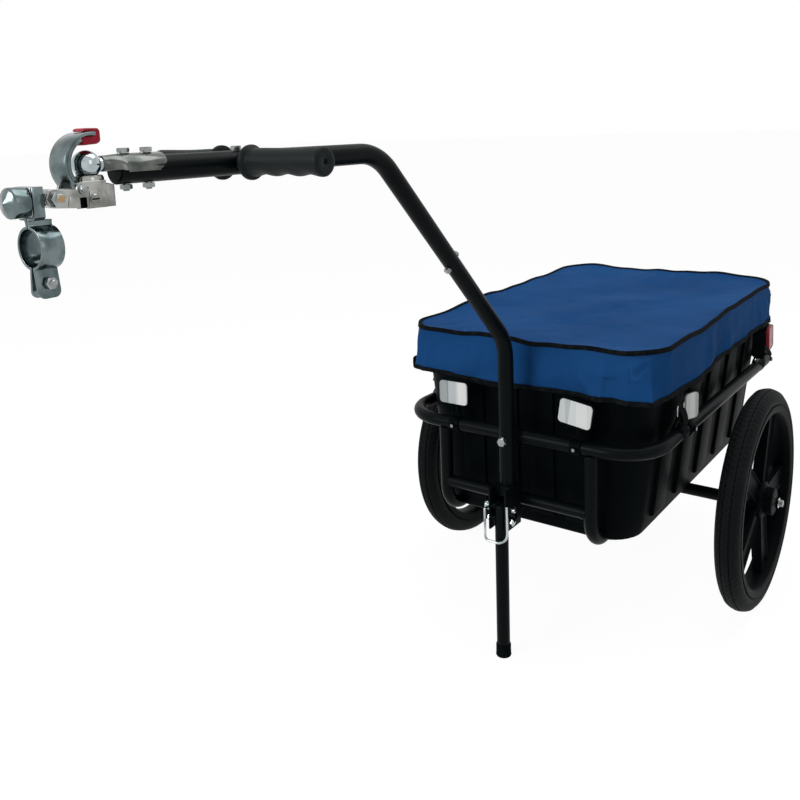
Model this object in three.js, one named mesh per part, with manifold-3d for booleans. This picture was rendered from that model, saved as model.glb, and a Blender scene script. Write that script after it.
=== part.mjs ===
// Cargo bike trailer: a tubular frame on two wheels carries a plastic tub with a fabric cover.
// A cranked drawbar leads forward to a ball coupling with a seat post clamp.
// Lengths are in millimetres. X runs across, the drawbar points to -Y and Z is up from the floor.
import * as THREE from 'three';
import { mergeVertices } from 'three/addons/utils/BufferGeometryUtils.js';
import Module from 'manifold-3d';

const wasm = await Module();
wasm.setup();

// Fits
const clearance = 0.3;
const overrun = 2;
const weldStep = 0.0001;
const roundSteps = 16;
const boltSides = 8;
const tubeSides = 10;
const bendSteps = 3;

// Wheels
const tyreDiameter = 400;
const tyreWidth = 42;
const tyreWall = 4;
const beadDepth = 40;
const wheelGap = 41;
const wheelSteps = 28;
const rimOuterWidth = 41;
const rimFlange = 3;
const rimFloor = 4;
const rimFlangeBelowCrown = 28;
const spokeCount = 5;
const spokeStart = 70;
const spokeWidthAtRim = 40;
const spokeWidthAtHub = 34;
const spokeThickness = 12;
const spokeRidge = 5;
const spokeRidgeWidth = 5;
const spokeBite = 0.5;
const spokeRoot = 6;
const hubDiameter = 64;
const hubWidth = 60;
const bushDiameter = 20;

// Axle
const axleBoltDiameter = 12;
const axleShoulderDiameter = 20;
const axlePlateInset = 50;
const axlePlate = 4;
const axlePlateWidth = 40;
const axlePlateHeight = 52;
const axlePlateCorner = 8;
const axleBossDiameter = 26;
const axleBossLength = 8;
const axleAboveBeam = 9;
const axleBehindBay = -13.5;
const axleBoltTail = 14.5;
const axleNutWidth = 20;
const axleNutHeight = 7.4;

// Frame tubes
const frameTube = 22;
const frameWall = 1.5;
const ringWithinTubWidth = 4;
const ringPastTubLength = 48;
const ringBelowTubTop = 158;
const ringBend = 75;
const railInset = 49;
const railBend = 45;
const crossbarTube = 20;
const crossbarRise = 54.7;

// Drawbar
const drawbarTube = 25;
const drawbarWall = 2;
const drawbarStandoff = 2.5;
const drawbarStart = 70.7;
const kneeRise = 257;
const elbowRise = 566;
const elbowReach = 312;
const drawbarReach = 693;
const drawbarBend = 80;
const seamAlong = 236;
const swageLength = 60;
const swageWall = 2;
const jointBoltFromSeam = 26;
const smallBolt = 6;
const frameBolt = 8;
const saddleWidth = 20;
const saddleHeight = 28;

// Bolt heads and nuts, as shares of the bolt's diameter
const headAcrossShare = 1.9;
const headHeightShare = 0.75;

// Drawbar bracket and folding stand
const bracketPlate = 3;
const bracketBottomRise = 16.7;
const bracketTopRise = 86.7;
const bracketInside = 26.2;
const bracketFront = 34;
const bracketCollarHeight = 17;
const standPivotRise = 31.7;
const standSetback = -20;
const standTube = 22;
const standWall = 1.5;
const standTop = 26;
const standBoltDiameter = 8;
const lockPinAbovePivot = 20;
const lockPinDiameter = 8;
const lockPinTip = 26;
const lockPinHeadDiameter = 13;
const lockPinHeadLength = 6;
const standFold = 90;
const slotSteps = 6;
const footDiameter = 26;
const footHeight = 22;
const footFloor = 3;
const bailWire = 4;
const bailForward = 18;
const bailDrop = 54;
const bailFreeEnd = 13;
const bailSide = 21;
const bailEyeDiameter = 17;
const bailBend = 16;
const bailShoulder = 7;

// Handle
const handleTube = 19;
const handleWall = 2;
const handleFromEnd = 147;
const handleHalf = 122;
const gripStart = 19;
const gripDiameter = 29;
const gripFlangeDiameter = 36;
const gripFlangeWidth = 6;
const gripEndWall = 2.5;
const gripEndHole = 5;
const gripScallops = 3;
const gripScallopDepth = 2.2;
const gripSides = 8;
const gripSteps = 12;
const gripNeckShare = 0.03;
const gripLastShare = 0.98;

// Hitch at the end of the drawbar
const hitchWall = 2.5;
const hitchFrontGap = 12;
const hitchLength = 71;
const hitchFrontBoltBack = 10;
const hitchRearBoltBack = 35;
const ballDiameter = 25;
const ballForward = 29;
const ballRaise = 7;
const ballShank = 12;
const ballSteps = 16;
const neckDiameter = 17;
const neckLength = 13.5;
const neckFrontShare = 0.8;

// Coupling head, measured from the ball's centre
const cheekInside = 24.8;
const cheekWall = 2.6;
const headTopBelow = 9;
const headBottomBelow = 37;
const headFront = 8;
const headRear = 19;
const pivotForward = 42;
const pivotBelow = 26;
const pivotBolt = 8;
const cheekRound = 8;
const catchPinForward = 15;
const catchPinBelow = 20;
const catchPinDiameter = 6;
const catchPinHeadShare = 1.52;
const cheekEar = 6.5;
const headScrew = 8;
const headScrewHeight = 1.5;
const headScrewBack = 4;
const headScrewBelow = 28;

// Catch strap and its red grip
const catchOuterRadius = 28;
const catchWall = 3;
const catchWidth = 24;
const catchFlange = 3;
const catchFlangeWidth = 2.5;
const catchLug = 5.5;
const catchStartAngle = 80;
const catchEndAngle = 228;
const catchFlangeStartAngle = 114;
const catchFlangeEndAngle = 212;
const gripLeg = 4;
const gripRear = 15;
const gripFront = 14;
const gripUnderFront = 7;
const gripUnderWall = 9;

// Swivel and seat post clamp
const swivelBelowPivot = 1.5;
const eyeRadius = 8;
const swivelShank = 12;
const swivelCollarDiameter = 18;
const swivelCollarLength = 5.5;
const swivelPlate = 2.5;
const swivelBracketWidth = 20.4;
const swivelBracketHeight = 25;
const swivelBracketLength = 10;
const swivelPlateForward = 19;
const capDiameter = 26;
const capLength = 13.7;
const capCone = 5;
const clampThickness = 2.5;
const clampWidth = 21;
const clampInside = 32;
const clampBelowSwivel = 38.5;
const clampWallTop = 12.5;
const clampFootBelow = 14;
const clampSplit = 0.6;
const clampTabTop = 2.4;
const clampTabBottom = 5.5;
const clampTabLength = 43;
const clampBoltBelow = 30;
const clampBoltBack = 8;
const clampInnerArcShare = 4;
const clampOuterArcShare = 1.6;

// Tub
const tubTopLength = 683;
const tubTopWidth = 458;
const tubLengthTaper = 34;
const tubWidthTaper = 88;
const tubWall = 3;
const tubSink = 7.3;
const tubHeight = 328;
const tubTilt = 10;
const tubCorner = 60;
const tubLip = 7;
const tubLipHeight = 30;
const tubLipUnder = 1.2;
const tubFootRound = 12;
const tubRibDepth = 4;
const tubRibWidth = 18;
const tubRibBottom = 20;
const tubRibTop = 58;
const tubRibSlope = 5;
const tubSideRibs = 6;
const tubEndRibs = 4;
const tubCornerSteps = 2;

// Cover
const coverThickness = 2;
const coverGap = 0.8;
const coverDrop = 81;
const coverSag = 16;
const coverFlare = 2;
const coverWave = 1.4;
const coverWaves = 9;
const coverRidge = 3;
const coverCorner = 62;
const coverSideSteps = 9;
const coverEndSteps = 7;
const coverCornerSteps = 4;
const coverTopShares = [0.985, 0.94, 0.82, 0.55, 0.25];
const coverRimShare = 0.94;
const coverRidgeNarrowing = 4;
const coverSkirtShares = [0, 0.35, 0.7];

// Straps with buckles
const strapWidth = 25;
const strapThickness = 1.8;
const strapTop = 6;
const strapFromHem = 2.4;
const strapFromFront = 137;
const strapFromRear = 117;
const buckleWidth = 32;
const buckleHeight = 26;
const buckleThickness = 4;

// Reflectors
const frontLensWidth = 58;
const frontLensHeight = 42;
const frontLensInset = 114;
const sideLensWidth = 34;
const sideLensHeight = 46;
const sideLensAlong = 174;
const rearLensWidth = 40;
const rearLensHeight = 52;
const lensThickness = 8;
const lensCorner = 6;
const stemWidth = 18;
const stemThickness = 3;
const clipWall = 2;
const clipDrop = 6;
const frontLensRise = 57;
const sideLensRise = 40;
const rearLensRise = 46;

// Places worked out from the sizes above
const frameRadius = frameTube / 2;
const drawbarRadius = drawbarTube / 2;
const tubBottomLength = tubTopLength - tubLengthTaper;
const tubBottomWidth = tubTopWidth - tubWidthTaper;
const ringWidth = tubTopWidth - ringWithinTubWidth;
const ringLength = tubTopLength + ringPastTubLength;
const railSpacing = tubBottomWidth - railInset * 2;
const track = ringWidth + frameTube + tyreWidth + wheelGap * 2;
const axlePlateOffset = track / 2 - axlePlateInset;
const frontLensSpacing = ringWidth - frontLensInset * 2;
const ringFrontY = drawbarRadius + drawbarStandoff + frameRadius;
const ringRearY = ringFrontY + ringLength;
const bayCentreY = ringFrontY + ringLength / 2;
const axleY = bayCentreY + axleBehindBay;
const axleZ = tyreDiameter / 2;
const beamZ = axleZ - axleAboveBeam;
const railZ = beamZ + frameTube + clearance;
const tubFloorZ = railZ - tubSink;
const tubTopZ = tubFloorZ + tubHeight;
const ringZ = tubTopZ - ringBelowTubTop;
const crossbarZ = railZ + crossbarRise;
const drawbarBottomZ = railZ + drawbarStart;
const kneeZ = drawbarBottomZ + kneeRise;
const drawbarZ = drawbarBottomZ + elbowRise;
const ballY = -drawbarReach - ballForward;
const ballZ = drawbarZ + ballRaise;
const standPivotZ = railZ + standPivotRise;

// Colours
const blackPaint = { color: 0x17181a, roughness: 0.45, metalness: 0.3 };
const blackPlastic = { color: 0x121315, roughness: 0.6, metalness: 0 };
const blackRubber = { color: 0x101010, roughness: 0.85, metalness: 0 };
const zinc = { color: 0xb9c0c4, roughness: 0.3, metalness: 1 };
const chrome = { color: 0xd9dcde, roughness: 0.15, metalness: 1 };
const redPlastic = { color: 0xb8112b, roughness: 0.4, metalness: 0 };
const redLens = { color: 0xc01824, roughness: 0.2, metalness: 0 };
const whiteLens = { color: 0xe8eaec, roughness: 0.2, metalness: 0 };
const blueFabric = { color: 0x1f4f8f, roughness: 0.75, metalness: 0 };
const bronze = { color: 0x8c6b3f, roughness: 0.4, metalness: 0.9 };

// Signed volume of an indexed closed mesh
function signedVolume(geometry) {
  const position = geometry.attributes.position;
  const index = geometry.index.array;
  const corners = [new THREE.Vector3(), new THREE.Vector3(), new THREE.Vector3()];
  let total = 0;
  for (let i = 0; i < index.length; i += 3) {
    corners.forEach((corner, k) => corner.fromBufferAttribute(position, index[i + k]));
    total += corners[0].dot(corners[1].cross(corners[2]));
  }
  return total;
}

// Merges the shared corners, drops flat triangles and turns the faces outward
function weld(geometry) {
  const plain = geometry.clone();
  plain.deleteAttribute('normal');
  plain.deleteAttribute('uv');
  const merged = mergeVertices(plain, weldStep);
  const index = merged.index.array;
  const kept = [];
  for (let i = 0; i < index.length; i += 3) {
    const [a, b, c] = [index[i], index[i + 1], index[i + 2]];
    if (a !== b && b !== c && c !== a) kept.push(a, b, c);
  }
  merged.setIndex(kept);
  if (signedVolume(merged) < 0) {
    kept.reverse();
    merged.setIndex(kept);
  }
  return merged;
}

function solid(geometry) {
  const welded = weld(geometry);
  const vertProperties = new Float32Array(welded.attributes.position.array);
  const triVerts = new Uint32Array(welded.index.array);
  return new wasm.Manifold(new wasm.Mesh({ numProp: 3, vertProperties, triVerts }));
}

function join(first, ...others) {
  return others.reduce((whole, other) => whole.add(other), first);
}

function cut(first, ...others) {
  return others.reduce((whole, other) => whole.subtract(other), first);
}

function geometryOf(body) {
  const mesh = body.getMesh();
  const geometry = new THREE.BufferGeometry();
  geometry.setAttribute('position', new THREE.BufferAttribute(new Float32Array(mesh.vertProperties), 3));
  geometry.setIndex(new THREE.BufferAttribute(new Uint32Array(mesh.triVerts), 1));
  return geometry;
}

// A body drawn on the +X side, mirrored where the side is -1
function onSide(body, side) {
  return geometryOf(body).scale(side, 1, 1);
}

// A named mesh; its shape is a three.js geometry or a joined or cut body
function piece(name, shape, look, x = 0, y = 0, z = 0) {
  const geometry = shape.isBufferGeometry ? weld(shape) : geometryOf(shape);
  const mesh = new THREE.Mesh(geometry, new THREE.MeshStandardMaterial(look));
  mesh.name = name;
  mesh.position.set(x, y, z);
  return mesh;
}

function assembly(x, y, z, ...members) {
  const group = new THREE.Group();
  group.position.set(x, y, z);
  group.add(...members);
  return group;
}

// Radius of the corners of a faceted hole whose flats lie at the given radius
const cornerRadius = (radius, sides) => radius / Math.cos(Math.PI / sides);
const degrees = (angle) => THREE.MathUtils.degToRad(angle);
const point = (x, y, z) => new THREE.Vector3(x, y, z);

// Basic shapes along the main axes
function box(x0, x1, y0, y1, z0, z1) {
  const geometry = new THREE.BoxGeometry(x1 - x0, y1 - y0, z1 - z0);
  return geometry.translate((x0 + x1) / 2, (y0 + y1) / 2, (z0 + z1) / 2);
}

// A round bar between two points
function rod(start, end, radius, sides = roundSteps) {
  const span = end.clone().sub(start);
  const turn = new THREE.Quaternion().setFromUnitVectors(point(0, 1, 0), span.clone().normalize());
  const middle = start.clone().add(end).multiplyScalar(0.5);
  const geometry = new THREE.CylinderGeometry(radius, radius, span.length(), sides);
  return geometry.applyQuaternion(turn).translate(middle.x, middle.y, middle.z);
}

// A turned shape; its profile lists [radius, place along the axis]
function turned(profile, direction, steps = roundSteps) {
  const points = profile.map(([radius, along]) => new THREE.Vector2(radius, along));
  const turn = new THREE.Quaternion().setFromUnitVectors(point(0, 1, 0), direction);
  return new THREE.LatheGeometry(points, steps).applyQuaternion(turn);
}

function outline(points) {
  return new THREE.Shape(points.map(([u, v]) => new THREE.Vector2(u, v)));
}

// A shape drawn in Y and Z, pulled along X
function extrudeX(shape, x0, x1, curveSegments = 8) {
  const geometry = new THREE.ExtrudeGeometry(shape, { depth: x1 - x0, bevelEnabled: false, curveSegments });
  const basis = new THREE.Matrix4().makeBasis(point(0, 1, 0), point(0, 0, 1), point(1, 0, 0));
  return geometry.applyMatrix4(basis).translate(x0, 0, 0);
}

// A shape drawn in X and Z, pulled along Y
function extrudeY(shape, y0, y1, curveSegments = 8) {
  const geometry = new THREE.ExtrudeGeometry(shape, { depth: y1 - y0, bevelEnabled: false, curveSegments });
  const basis = new THREE.Matrix4().makeBasis(point(1, 0, 0), point(0, 0, 1), point(0, -1, 0));
  return geometry.applyMatrix4(basis).translate(0, y1, 0);
}

// A rectangle with rounded corners about a centre
function roundedRectangle(u, v, width, height, radius) {
  const shape = new THREE.Shape();
  const reachU = width / 2 - radius;
  const reachV = height / 2 - radius;
  shape.absarc(u + reachU, v + reachV, radius, 0, Math.PI / 2);
  shape.absarc(u - reachU, v + reachV, radius, Math.PI / 2, Math.PI);
  shape.absarc(u - reachU, v - reachV, radius, Math.PI, Math.PI * 1.5);
  shape.absarc(u + reachU, v - reachV, radius, Math.PI * 1.5, Math.PI * 2);
  return shape;
}

// A path of straight runs with round bends at its corners; the last radius serves the corners that are left
class BentPath extends THREE.Curve {
  constructor(corners, ...radii) {
    super();
    this.stations = [];
    const heading = (i) => corners[i + 1].clone().sub(corners[i]).normalize();
    const last = corners.length - 1;
    this.addStation(corners[0], heading(0));
    for (let i = 1; i < last; i += 1) {
      const radius = radii[Math.min(i, radii.length) - 1];
      this.addBend(corners[i], heading(i - 1), heading(i), radius);
    }
    this.addStation(corners[last], heading(last - 1));
  }

  addStation(place, tangent) {
    this.stations.push({ place: place.clone(), tangent: tangent.clone() });
  }

  addBend(corner, before, after, radius) {
    const turn = before.angleTo(after);
    const start = corner.clone().addScaledVector(before, -radius * Math.tan(turn / 2));
    const inward = after.clone().addScaledVector(before, -after.dot(before)).normalize();
    for (let k = 0; k <= bendSteps; k += 1) {
      const angle = (turn * k) / bendSteps;
      const place = start.clone().addScaledVector(before, radius * Math.sin(angle));
      place.addScaledVector(inward, radius * (1 - Math.cos(angle)));
      const tangent = before.clone().multiplyScalar(Math.cos(angle)).addScaledVector(inward, Math.sin(angle));
      this.addStation(place, tangent);
    }
  }

  get steps() {
    return this.stations.length - 1;
  }

  getUtoTmapping(u) {
    return u;
  }

  getPoint(t, target = new THREE.Vector3()) {
    return target.copy(this.stations[Math.round(t * this.steps)].place);
  }

  getTangent(t, target = new THREE.Vector3()) {
    return target.copy(this.stations[Math.round(t * this.steps)].tangent);
  }
}

// A round bar bent along a path
function bentBar(path, radius, sides = tubeSides) {
  const section = new THREE.Shape().absarc(0, 0, radius, 0, Math.PI * 2);
  const settings = { steps: path.steps, extrudePath: path, curveSegments: sides / 2 };
  return new THREE.ExtrudeGeometry(section, settings);
}

// Rings of equal count joined into a skin; closed rings of rings make a torus, else both ends get a fan
function loft(rings, closed = false) {
  const count = rings[0].length;
  const positions = rings.flat(2);
  const index = [];
  const strips = closed ? rings.length : rings.length - 1;
  for (let r = 0; r < strips; r += 1) {
    const next = ((r + 1) % rings.length) * count;
    for (let k = 0; k < count; k += 1) {
      const k1 = (k + 1) % count;
      index.push(r * count + k, r * count + k1, next + k1);
      index.push(r * count + k, next + k1, next + k);
    }
  }
  if (!closed) {
    for (const [ring, flip] of [[0, true], [rings.length - 1, false]]) {
      const centre = positions.length / 3;
      const middle = [0, 1, 2].map((axis) => rings[ring].reduce((sum, p) => sum + p[axis], 0) / count);
      positions.push(...middle);
      for (let k = 0; k < count; k += 1) {
        const a = ring * count + k;
        const b = ring * count + ((k + 1) % count);
        index.push(...(flip ? [b, a, centre] : [a, b, centre]));
      }
    }
  }
  const geometry = new THREE.BufferGeometry();
  geometry.setAttribute('position', new THREE.Float32BufferAttribute(positions, 3));
  geometry.setIndex(index);
  return geometry;
}

// A hexagon headed bolt from the underside of its head to its nut
function boltWithNut(start, end, diameter, withNut = true) {
  const radius = diameter / 2;
  const headRadius = radius * headAcrossShare;
  const headHeight = diameter * headHeightShare;
  const along = end.clone().sub(start).normalize();
  const headEnd = start.clone().addScaledVector(along, -headHeight);
  const nutEnd = end.clone().addScaledVector(along, headHeight);
  const shankEnd = withNut ? nutEnd.clone().addScaledVector(along, headHeight / 3) : end;
  const insideHead = start.clone().addScaledVector(along, -headHeight / 2);
  const shank = solid(rod(insideHead, shankEnd, radius, boltSides));
  const head = solid(rod(headEnd, start, headRadius, 6));
  if (!withNut) return join(head, shank);
  return join(head, shank, solid(rod(end, nutEnd, headRadius, 6)));
}

function hole(start, end, diameter) {
  return solid(rod(start, end, cornerRadius(diameter / 2 + clearance, boltSides), boltSides));
}

// Ring frame round the tub
function ringPath(sign) {
  const half = ringWidth / 2;
  const cornerY = bayCentreY + (sign * ringLength) / 2;
  const startY = bayCentreY + (sign * clearance) / 2;
  return new BentPath([
    point(-half, startY, ringZ), point(-half, cornerY, ringZ),
    point(half, cornerY, ringZ), point(half, startY, ringZ),
  ], ringBend);
}

function ringBore(sign) {
  return solid(bentBar(ringPath(sign), frameRadius - frameWall));
}

function ringRear() {
  return cut(solid(bentBar(ringPath(1), frameRadius)), ringBore(1));
}

function ringFront() {
  const saddleBottom = ringZ - saddleHeight / 2;
  const saddleHalf = saddleWidth / 2;
  const saddle = solid(box(-saddleHalf, saddleHalf, 0, ringFrontY, saddleBottom, saddleBottom + saddleHeight));
  const drawbarSpace = solid(rod(
    point(0, 0, saddleBottom - overrun), point(0, 0, saddleBottom + saddleHeight + overrun),
    drawbarRadius + clearance,
  ));
  const body = join(solid(bentBar(ringPath(-1), frameRadius)), cut(saddle, drawbarSpace));
  const boltHole = hole(point(0, 0, ringZ), point(0, ringFrontY + frameTube, ringZ), frameBolt);
  return cut(body, ringBore(-1), boltHole);
}

// Rails under the tub
function railPath(x) {
  return new BentPath([
    point(x, ringFrontY, ringZ), point(x, ringFrontY, railZ),
    point(x, ringRearY, railZ), point(x, ringRearY, ringZ),
  ], railBend);
}

// Round space kept for a tube that another one meets, along X
function crossSpace(y, z, radius, half) {
  return solid(rod(point(-half, y, z), point(half, y, z), radius + clearance));
}

function rail(x) {
  const ends = [ringFrontY, ringRearY].map((y) => crossSpace(y, ringZ, frameRadius, ringWidth / 2));
  const bore = solid(bentBar(railPath(x), frameRadius - frameWall));
  return cut(solid(bentBar(railPath(x), frameRadius)), bore, ...ends);
}

function crossbar(y) {
  const half = railSpacing / 2;
  const along = (radius) => solid(rod(
    point(-half, y, crossbarZ), point(half, y, crossbarZ), radius, tubeSides,
  ));
  const bar = along(crossbarTube / 2);
  const bore = along(crossbarTube / 2 - frameWall);
  const posts = [-half, half].map((x) => solid(rod(
    point(x, y, crossbarZ - crossbarTube), point(x, y, crossbarZ + crossbarTube), frameRadius + clearance,
  )));
  return cut(bar, bore, ...posts);
}

// Axle beam with an end plate and boss on each side
function axleBeam() {
  const reach = axlePlateOffset;
  const plateShape = roundedRectangle(axleY, beamZ + axleAboveBeam + axlePlate - frameRadius / 2,
    axlePlateWidth, axlePlateHeight, axlePlateCorner);
  const beam = solid(rod(point(-reach, axleY, beamZ), point(reach, axleY, beamZ), frameRadius, tubeSides));
  const boreRadius = frameRadius - frameWall;
  const bore = solid(rod(point(-reach, axleY, beamZ), point(reach, axleY, beamZ), boreRadius, tubeSides));
  const parts = [];
  const holes = [];
  for (const side of [-1, 1]) {
    const inner = side * reach;
    const outer = side * (reach + axlePlate);
    const bossEnd = side * (reach + axlePlate + axleBossLength);
    parts.push(solid(extrudeX(plateShape, Math.min(inner, outer), Math.max(inner, outer), 1)));
    parts.push(solid(rod(point(inner, axleY, axleZ), point(bossEnd, axleY, axleZ), axleBossDiameter / 2)));
    const holeEnd = point(bossEnd + side * overrun, axleY, axleZ);
    holes.push(hole(point(inner - side * overrun, axleY, axleZ), holeEnd, axleBoltDiameter));
  }
  return cut(join(beam, ...parts), bore, ...holes);
}

// Wheel pieces, centred on the wheel
function tyre() {
  const crown = tyreDiameter / 2;
  const half = tyreWidth / 2;
  const bead = crown - rimFlangeBelowCrown;
  const seat = rimOuterWidth / 2 - rimFlange - clearance;
  const crownShares = [[1, 0.9], [0.86, 0.36], [0.5, 0.08], [0, 0]];
  const innerShares = [[1, 0.9], [0.7, 0.25], [0, 0]];
  const outer = crownShares.map(([across, down]) => [crown - down * half, across * half]);
  const inner = innerShares.map(([across, down]) => [
    crown - tyreWall - down * (half - tyreWall), across * (half - tyreWall),
  ]);
  const side = [[crown - beadDepth, seat], [bead, seat], ...outer];
  const under = [...inner].reverse().concat([[crown - beadDepth, seat - tyreWall]]);
  const mirror = (list) => list.map(([radius, along]) => [radius, -along]).reverse();
  const profile = [...side, ...mirror(side).slice(1), ...mirror(under), ...under.slice(1), side[0]];
  return turned(profile, point(1, 0, 0), wheelSteps);
}

// Spoke with two raised edges on its outer face; side is 1 on the right wheel
function spoke(angle, side) {
  const inner = hubDiameter / 2 - spokeRoot;
  const outer = tyreDiameter / 2 - beadDepth - clearance - rimFloor + spokeBite;
  const half = spokeThickness / 2;
  const ring = (radius, width) => {
    const edge = width / 2;
    const groove = edge - spokeRidgeWidth;
    const high = half + spokeRidge;
    return [
      [high, -edge], [high, -groove], [half, -groove], [half, groove], [high, groove], [high, edge],
      [-high, edge], [-high, -edge],
    ].map(([x, across]) => [side * x, side * across, radius]);
  };
  const blade = loft([ring(inner, spokeWidthAtHub), ring(outer, spokeWidthAtRim)]);
  return solid(blade.rotateX(degrees(angle) - Math.PI / 2));
}

function wheel(side) {
  const edge = rimOuterWidth / 2;
  const flangeTop = tyreDiameter / 2 - rimFlangeBelowCrown;
  const well = tyreDiameter / 2 - beadDepth - clearance;
  const rim = turned([
    [flangeTop, edge], [flangeTop, edge - rimFlange], [well, edge - rimFlange],
    [well, rimFlange - edge], [flangeTop, rimFlange - edge], [flangeTop, -edge],
    [well - rimFloor, -edge], [well - rimFloor, edge], [flangeTop, edge],
  ], point(1, 0, 0), wheelSteps);
  const halfHub = hubWidth / 2;
  const hub = solid(rod(point(-halfHub, 0, 0), point(halfHub, 0, 0), hubDiameter / 2));
  const spokeTurn = 360 / spokeCount;
  const spokes = Array.from({ length: spokeCount }, (_, k) => spoke(spokeStart + k * spokeTurn, side));
  const bore = solid(rod(
    point(-halfHub - overrun, 0, 0), point(halfHub + overrun, 0, 0),
    cornerRadius(bushDiameter / 2 + clearance, boltSides), boltSides,
  ));
  return cut(join(solid(rim), hub, ...spokes), bore);
}

function hubBush() {
  const half = hubWidth / 2 - clearance;
  const outer = bushDiameter / 2;
  const inner = cornerRadius(axleBoltDiameter / 2 + clearance, boltSides);
  return turned([[inner, -half], [outer, -half], [outer, half], [inner, half], [inner, -half]],
    point(1, 0, 0), boltSides);
}

// Axle bolt along X from the end plate; side is 1 on the right
function axleBolt(side) {
  const start = axlePlateOffset + clearance;
  const shoulderStart = axlePlateOffset + axlePlate + axleBossLength + clearance;
  const shoulderEnd = track / 2 - hubWidth / 2 - clearance;
  const end = track / 2 + hubWidth / 2 + axleBoltTail;
  const radius = axleBoltDiameter / 2;
  const shoulder = axleShoulderDiameter / 2;
  return turned([
    [0, start], [radius, start], [radius, shoulderStart], [shoulder, shoulderStart],
    [shoulder, shoulderEnd], [radius, shoulderEnd], [radius, end], [0, end],
  ], point(side, 0, 0), boltSides);
}

function axleNut(side) {
  const start = side * (track / 2 + hubWidth / 2 + clearance);
  const end = start + side * axleNutHeight;
  const body = solid(rod(point(start, 0, 0), point(end, 0, 0), axleNutWidth / 2, 6));
  const beyond = side * overrun;
  return cut(body, hole(point(start - beyond, 0, 0), point(end + beyond, 0, 0), axleBoltDiameter));
}

function wheelSet(side, sideName) {
  return [
    assembly((side * track) / 2, axleY, axleZ,
      piece(`wheel_${sideName}`, wheel(side), blackPlastic),
      piece(`tyre_${sideName}`, tyre(), blackRubber),
      piece(`hub_bush_${sideName}`, hubBush(), bronze)),
    assembly(0, axleY, axleZ,
      piece(`axle_bolt_${sideName}`, axleBolt(side), zinc),
      piece(`axle_nut_${sideName}`, axleNut(side), chrome)),
  ];
}

// Drawbar bracket: a channel with a collar for the drawbar and arc slots for the lock pin
function bracketSlot() {
  const radius = cornerRadius(lockPinDiameter / 2 + clearance, boltSides);
  const points = [];
  for (let k = 0; k <= slotSteps; k += 1) {
    const angle = degrees(90 - (standFold * k) / slotSteps);
    points.push([lockPinAbovePivot * Math.cos(angle), lockPinAbovePivot * Math.sin(angle)]);
  }
  const wide = bracketInside / 2 + bracketPlate + overrun;
  const rounds = points.map(([y, z]) => solid(rod(
    point(-wide, standSetback + y, standPivotZ + z), point(wide, standSetback + y, standPivotZ + z),
    radius, boltSides,
  )));
  const bands = [];
  for (let k = 1; k < points.length; k += 1) bands.push(slotBand(points[k - 1], points[k], radius, wide));
  return join(...rounds, ...bands);
}

function slotBand(from, to, radius, wide) {
  const [dy, dz] = [to[0] - from[0], to[1] - from[1]];
  const length = Math.hypot(dy, dz);
  const [ny, nz] = [(-dz / length) * radius, (dy / length) * radius];
  const corners = [
    [from[0] + ny, from[1] + nz], [from[0] - ny, from[1] - nz],
    [to[0] - ny, to[1] - nz], [to[0] + ny, to[1] + nz],
  ];
  const placed = corners.map(([y, z]) => [standSetback + y, standPivotZ + z]);
  return solid(extrudeX(outline(placed), -wide, wide));
}

function drawbarBracket() {
  const bottom = railZ + bracketBottomRise;
  const top = railZ + bracketTopRise;
  const rear = ringFrontY - crossbarTube / 2 - clearance;
  const inside = bracketInside / 2;
  const outside = inside + bracketPlate;
  const collarBottom = top - bracketCollarHeight;
  const outer = solid(box(-outside, outside, -bracketFront, rear, bottom, top));
  const beyondFront = -bracketFront - overrun;
  const below = solid(box(-inside, inside, beyondFront, rear - bracketPlate, bottom - overrun, collarBottom));
  const ahead = solid(box(-inside, inside, beyondFront, -drawbarRadius - bracketPlate,
    collarBottom - overrun, top + overrun));
  const drawbarHole = solid(rod(
    point(0, 0, collarBottom - overrun), point(0, 0, top + overrun), drawbarRadius + clearance,
  ));
  const boltReach = outside + overrun;
  const boltHole = hole(
    point(-boltReach, standSetback, standPivotZ), point(boltReach, standSetback, standPivotZ),
    standBoltDiameter,
  );
  return cut(outer, below, ahead, drawbarHole, boltHole, bracketSlot());
}

// Folding stand, measured from its pivot
function standLeg() {
  const bottom = footFloor + clearance - standPivotZ;
  const tube = solid(rod(point(0, 0, bottom), point(0, 0, standTop), standTube / 2, roundSteps));
  const bore = solid(rod(point(0, 0, bottom - overrun), point(0, 0, standTop + overrun),
    standTube / 2 - standWall, boltSides));
  const wide = standTube;
  const boltHole = hole(point(-wide, 0, 0), point(wide, 0, 0), standBoltDiameter);
  const pinZ = lockPinAbovePivot;
  const pinHole = hole(point(-wide, 0, pinZ), point(wide, 0, pinZ), lockPinDiameter);
  return cut(tube, bore, boltHole, pinHole);
}

function standFoot() {
  const outer = footDiameter / 2;
  const pocket = cornerRadius(standTube / 2 + clearance, roundSteps);
  const bottom = -standPivotZ;
  return turned([
    [0, bottom], [outer, bottom], [outer, bottom + footHeight], [pocket, bottom + footHeight],
    [pocket, bottom + footFloor], [0, bottom + footFloor],
  ], point(0, 0, 1));
}

function standBolt() {
  const wide = bracketInside / 2 + bracketPlate + clearance;
  return boltWithNut(point(-wide, 0, 0), point(wide, 0, 0), standBoltDiameter);
}

const bailCentreX = -bailSide;

function lockPin() {
  const radius = lockPinDiameter / 2;
  const head = lockPinHeadDiameter / 2;
  const stemEnd = bailCentreX - bailWire / 2 - clearance;
  return turned([
    [0, lockPinTip], [radius, lockPinTip - radius], [radius, stemEnd], [head, stemEnd],
    [head, stemEnd - lockPinHeadLength], [0, stemEnd - lockPinHeadLength],
  ], point(1, 0, 0), boltSides);
}

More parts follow.
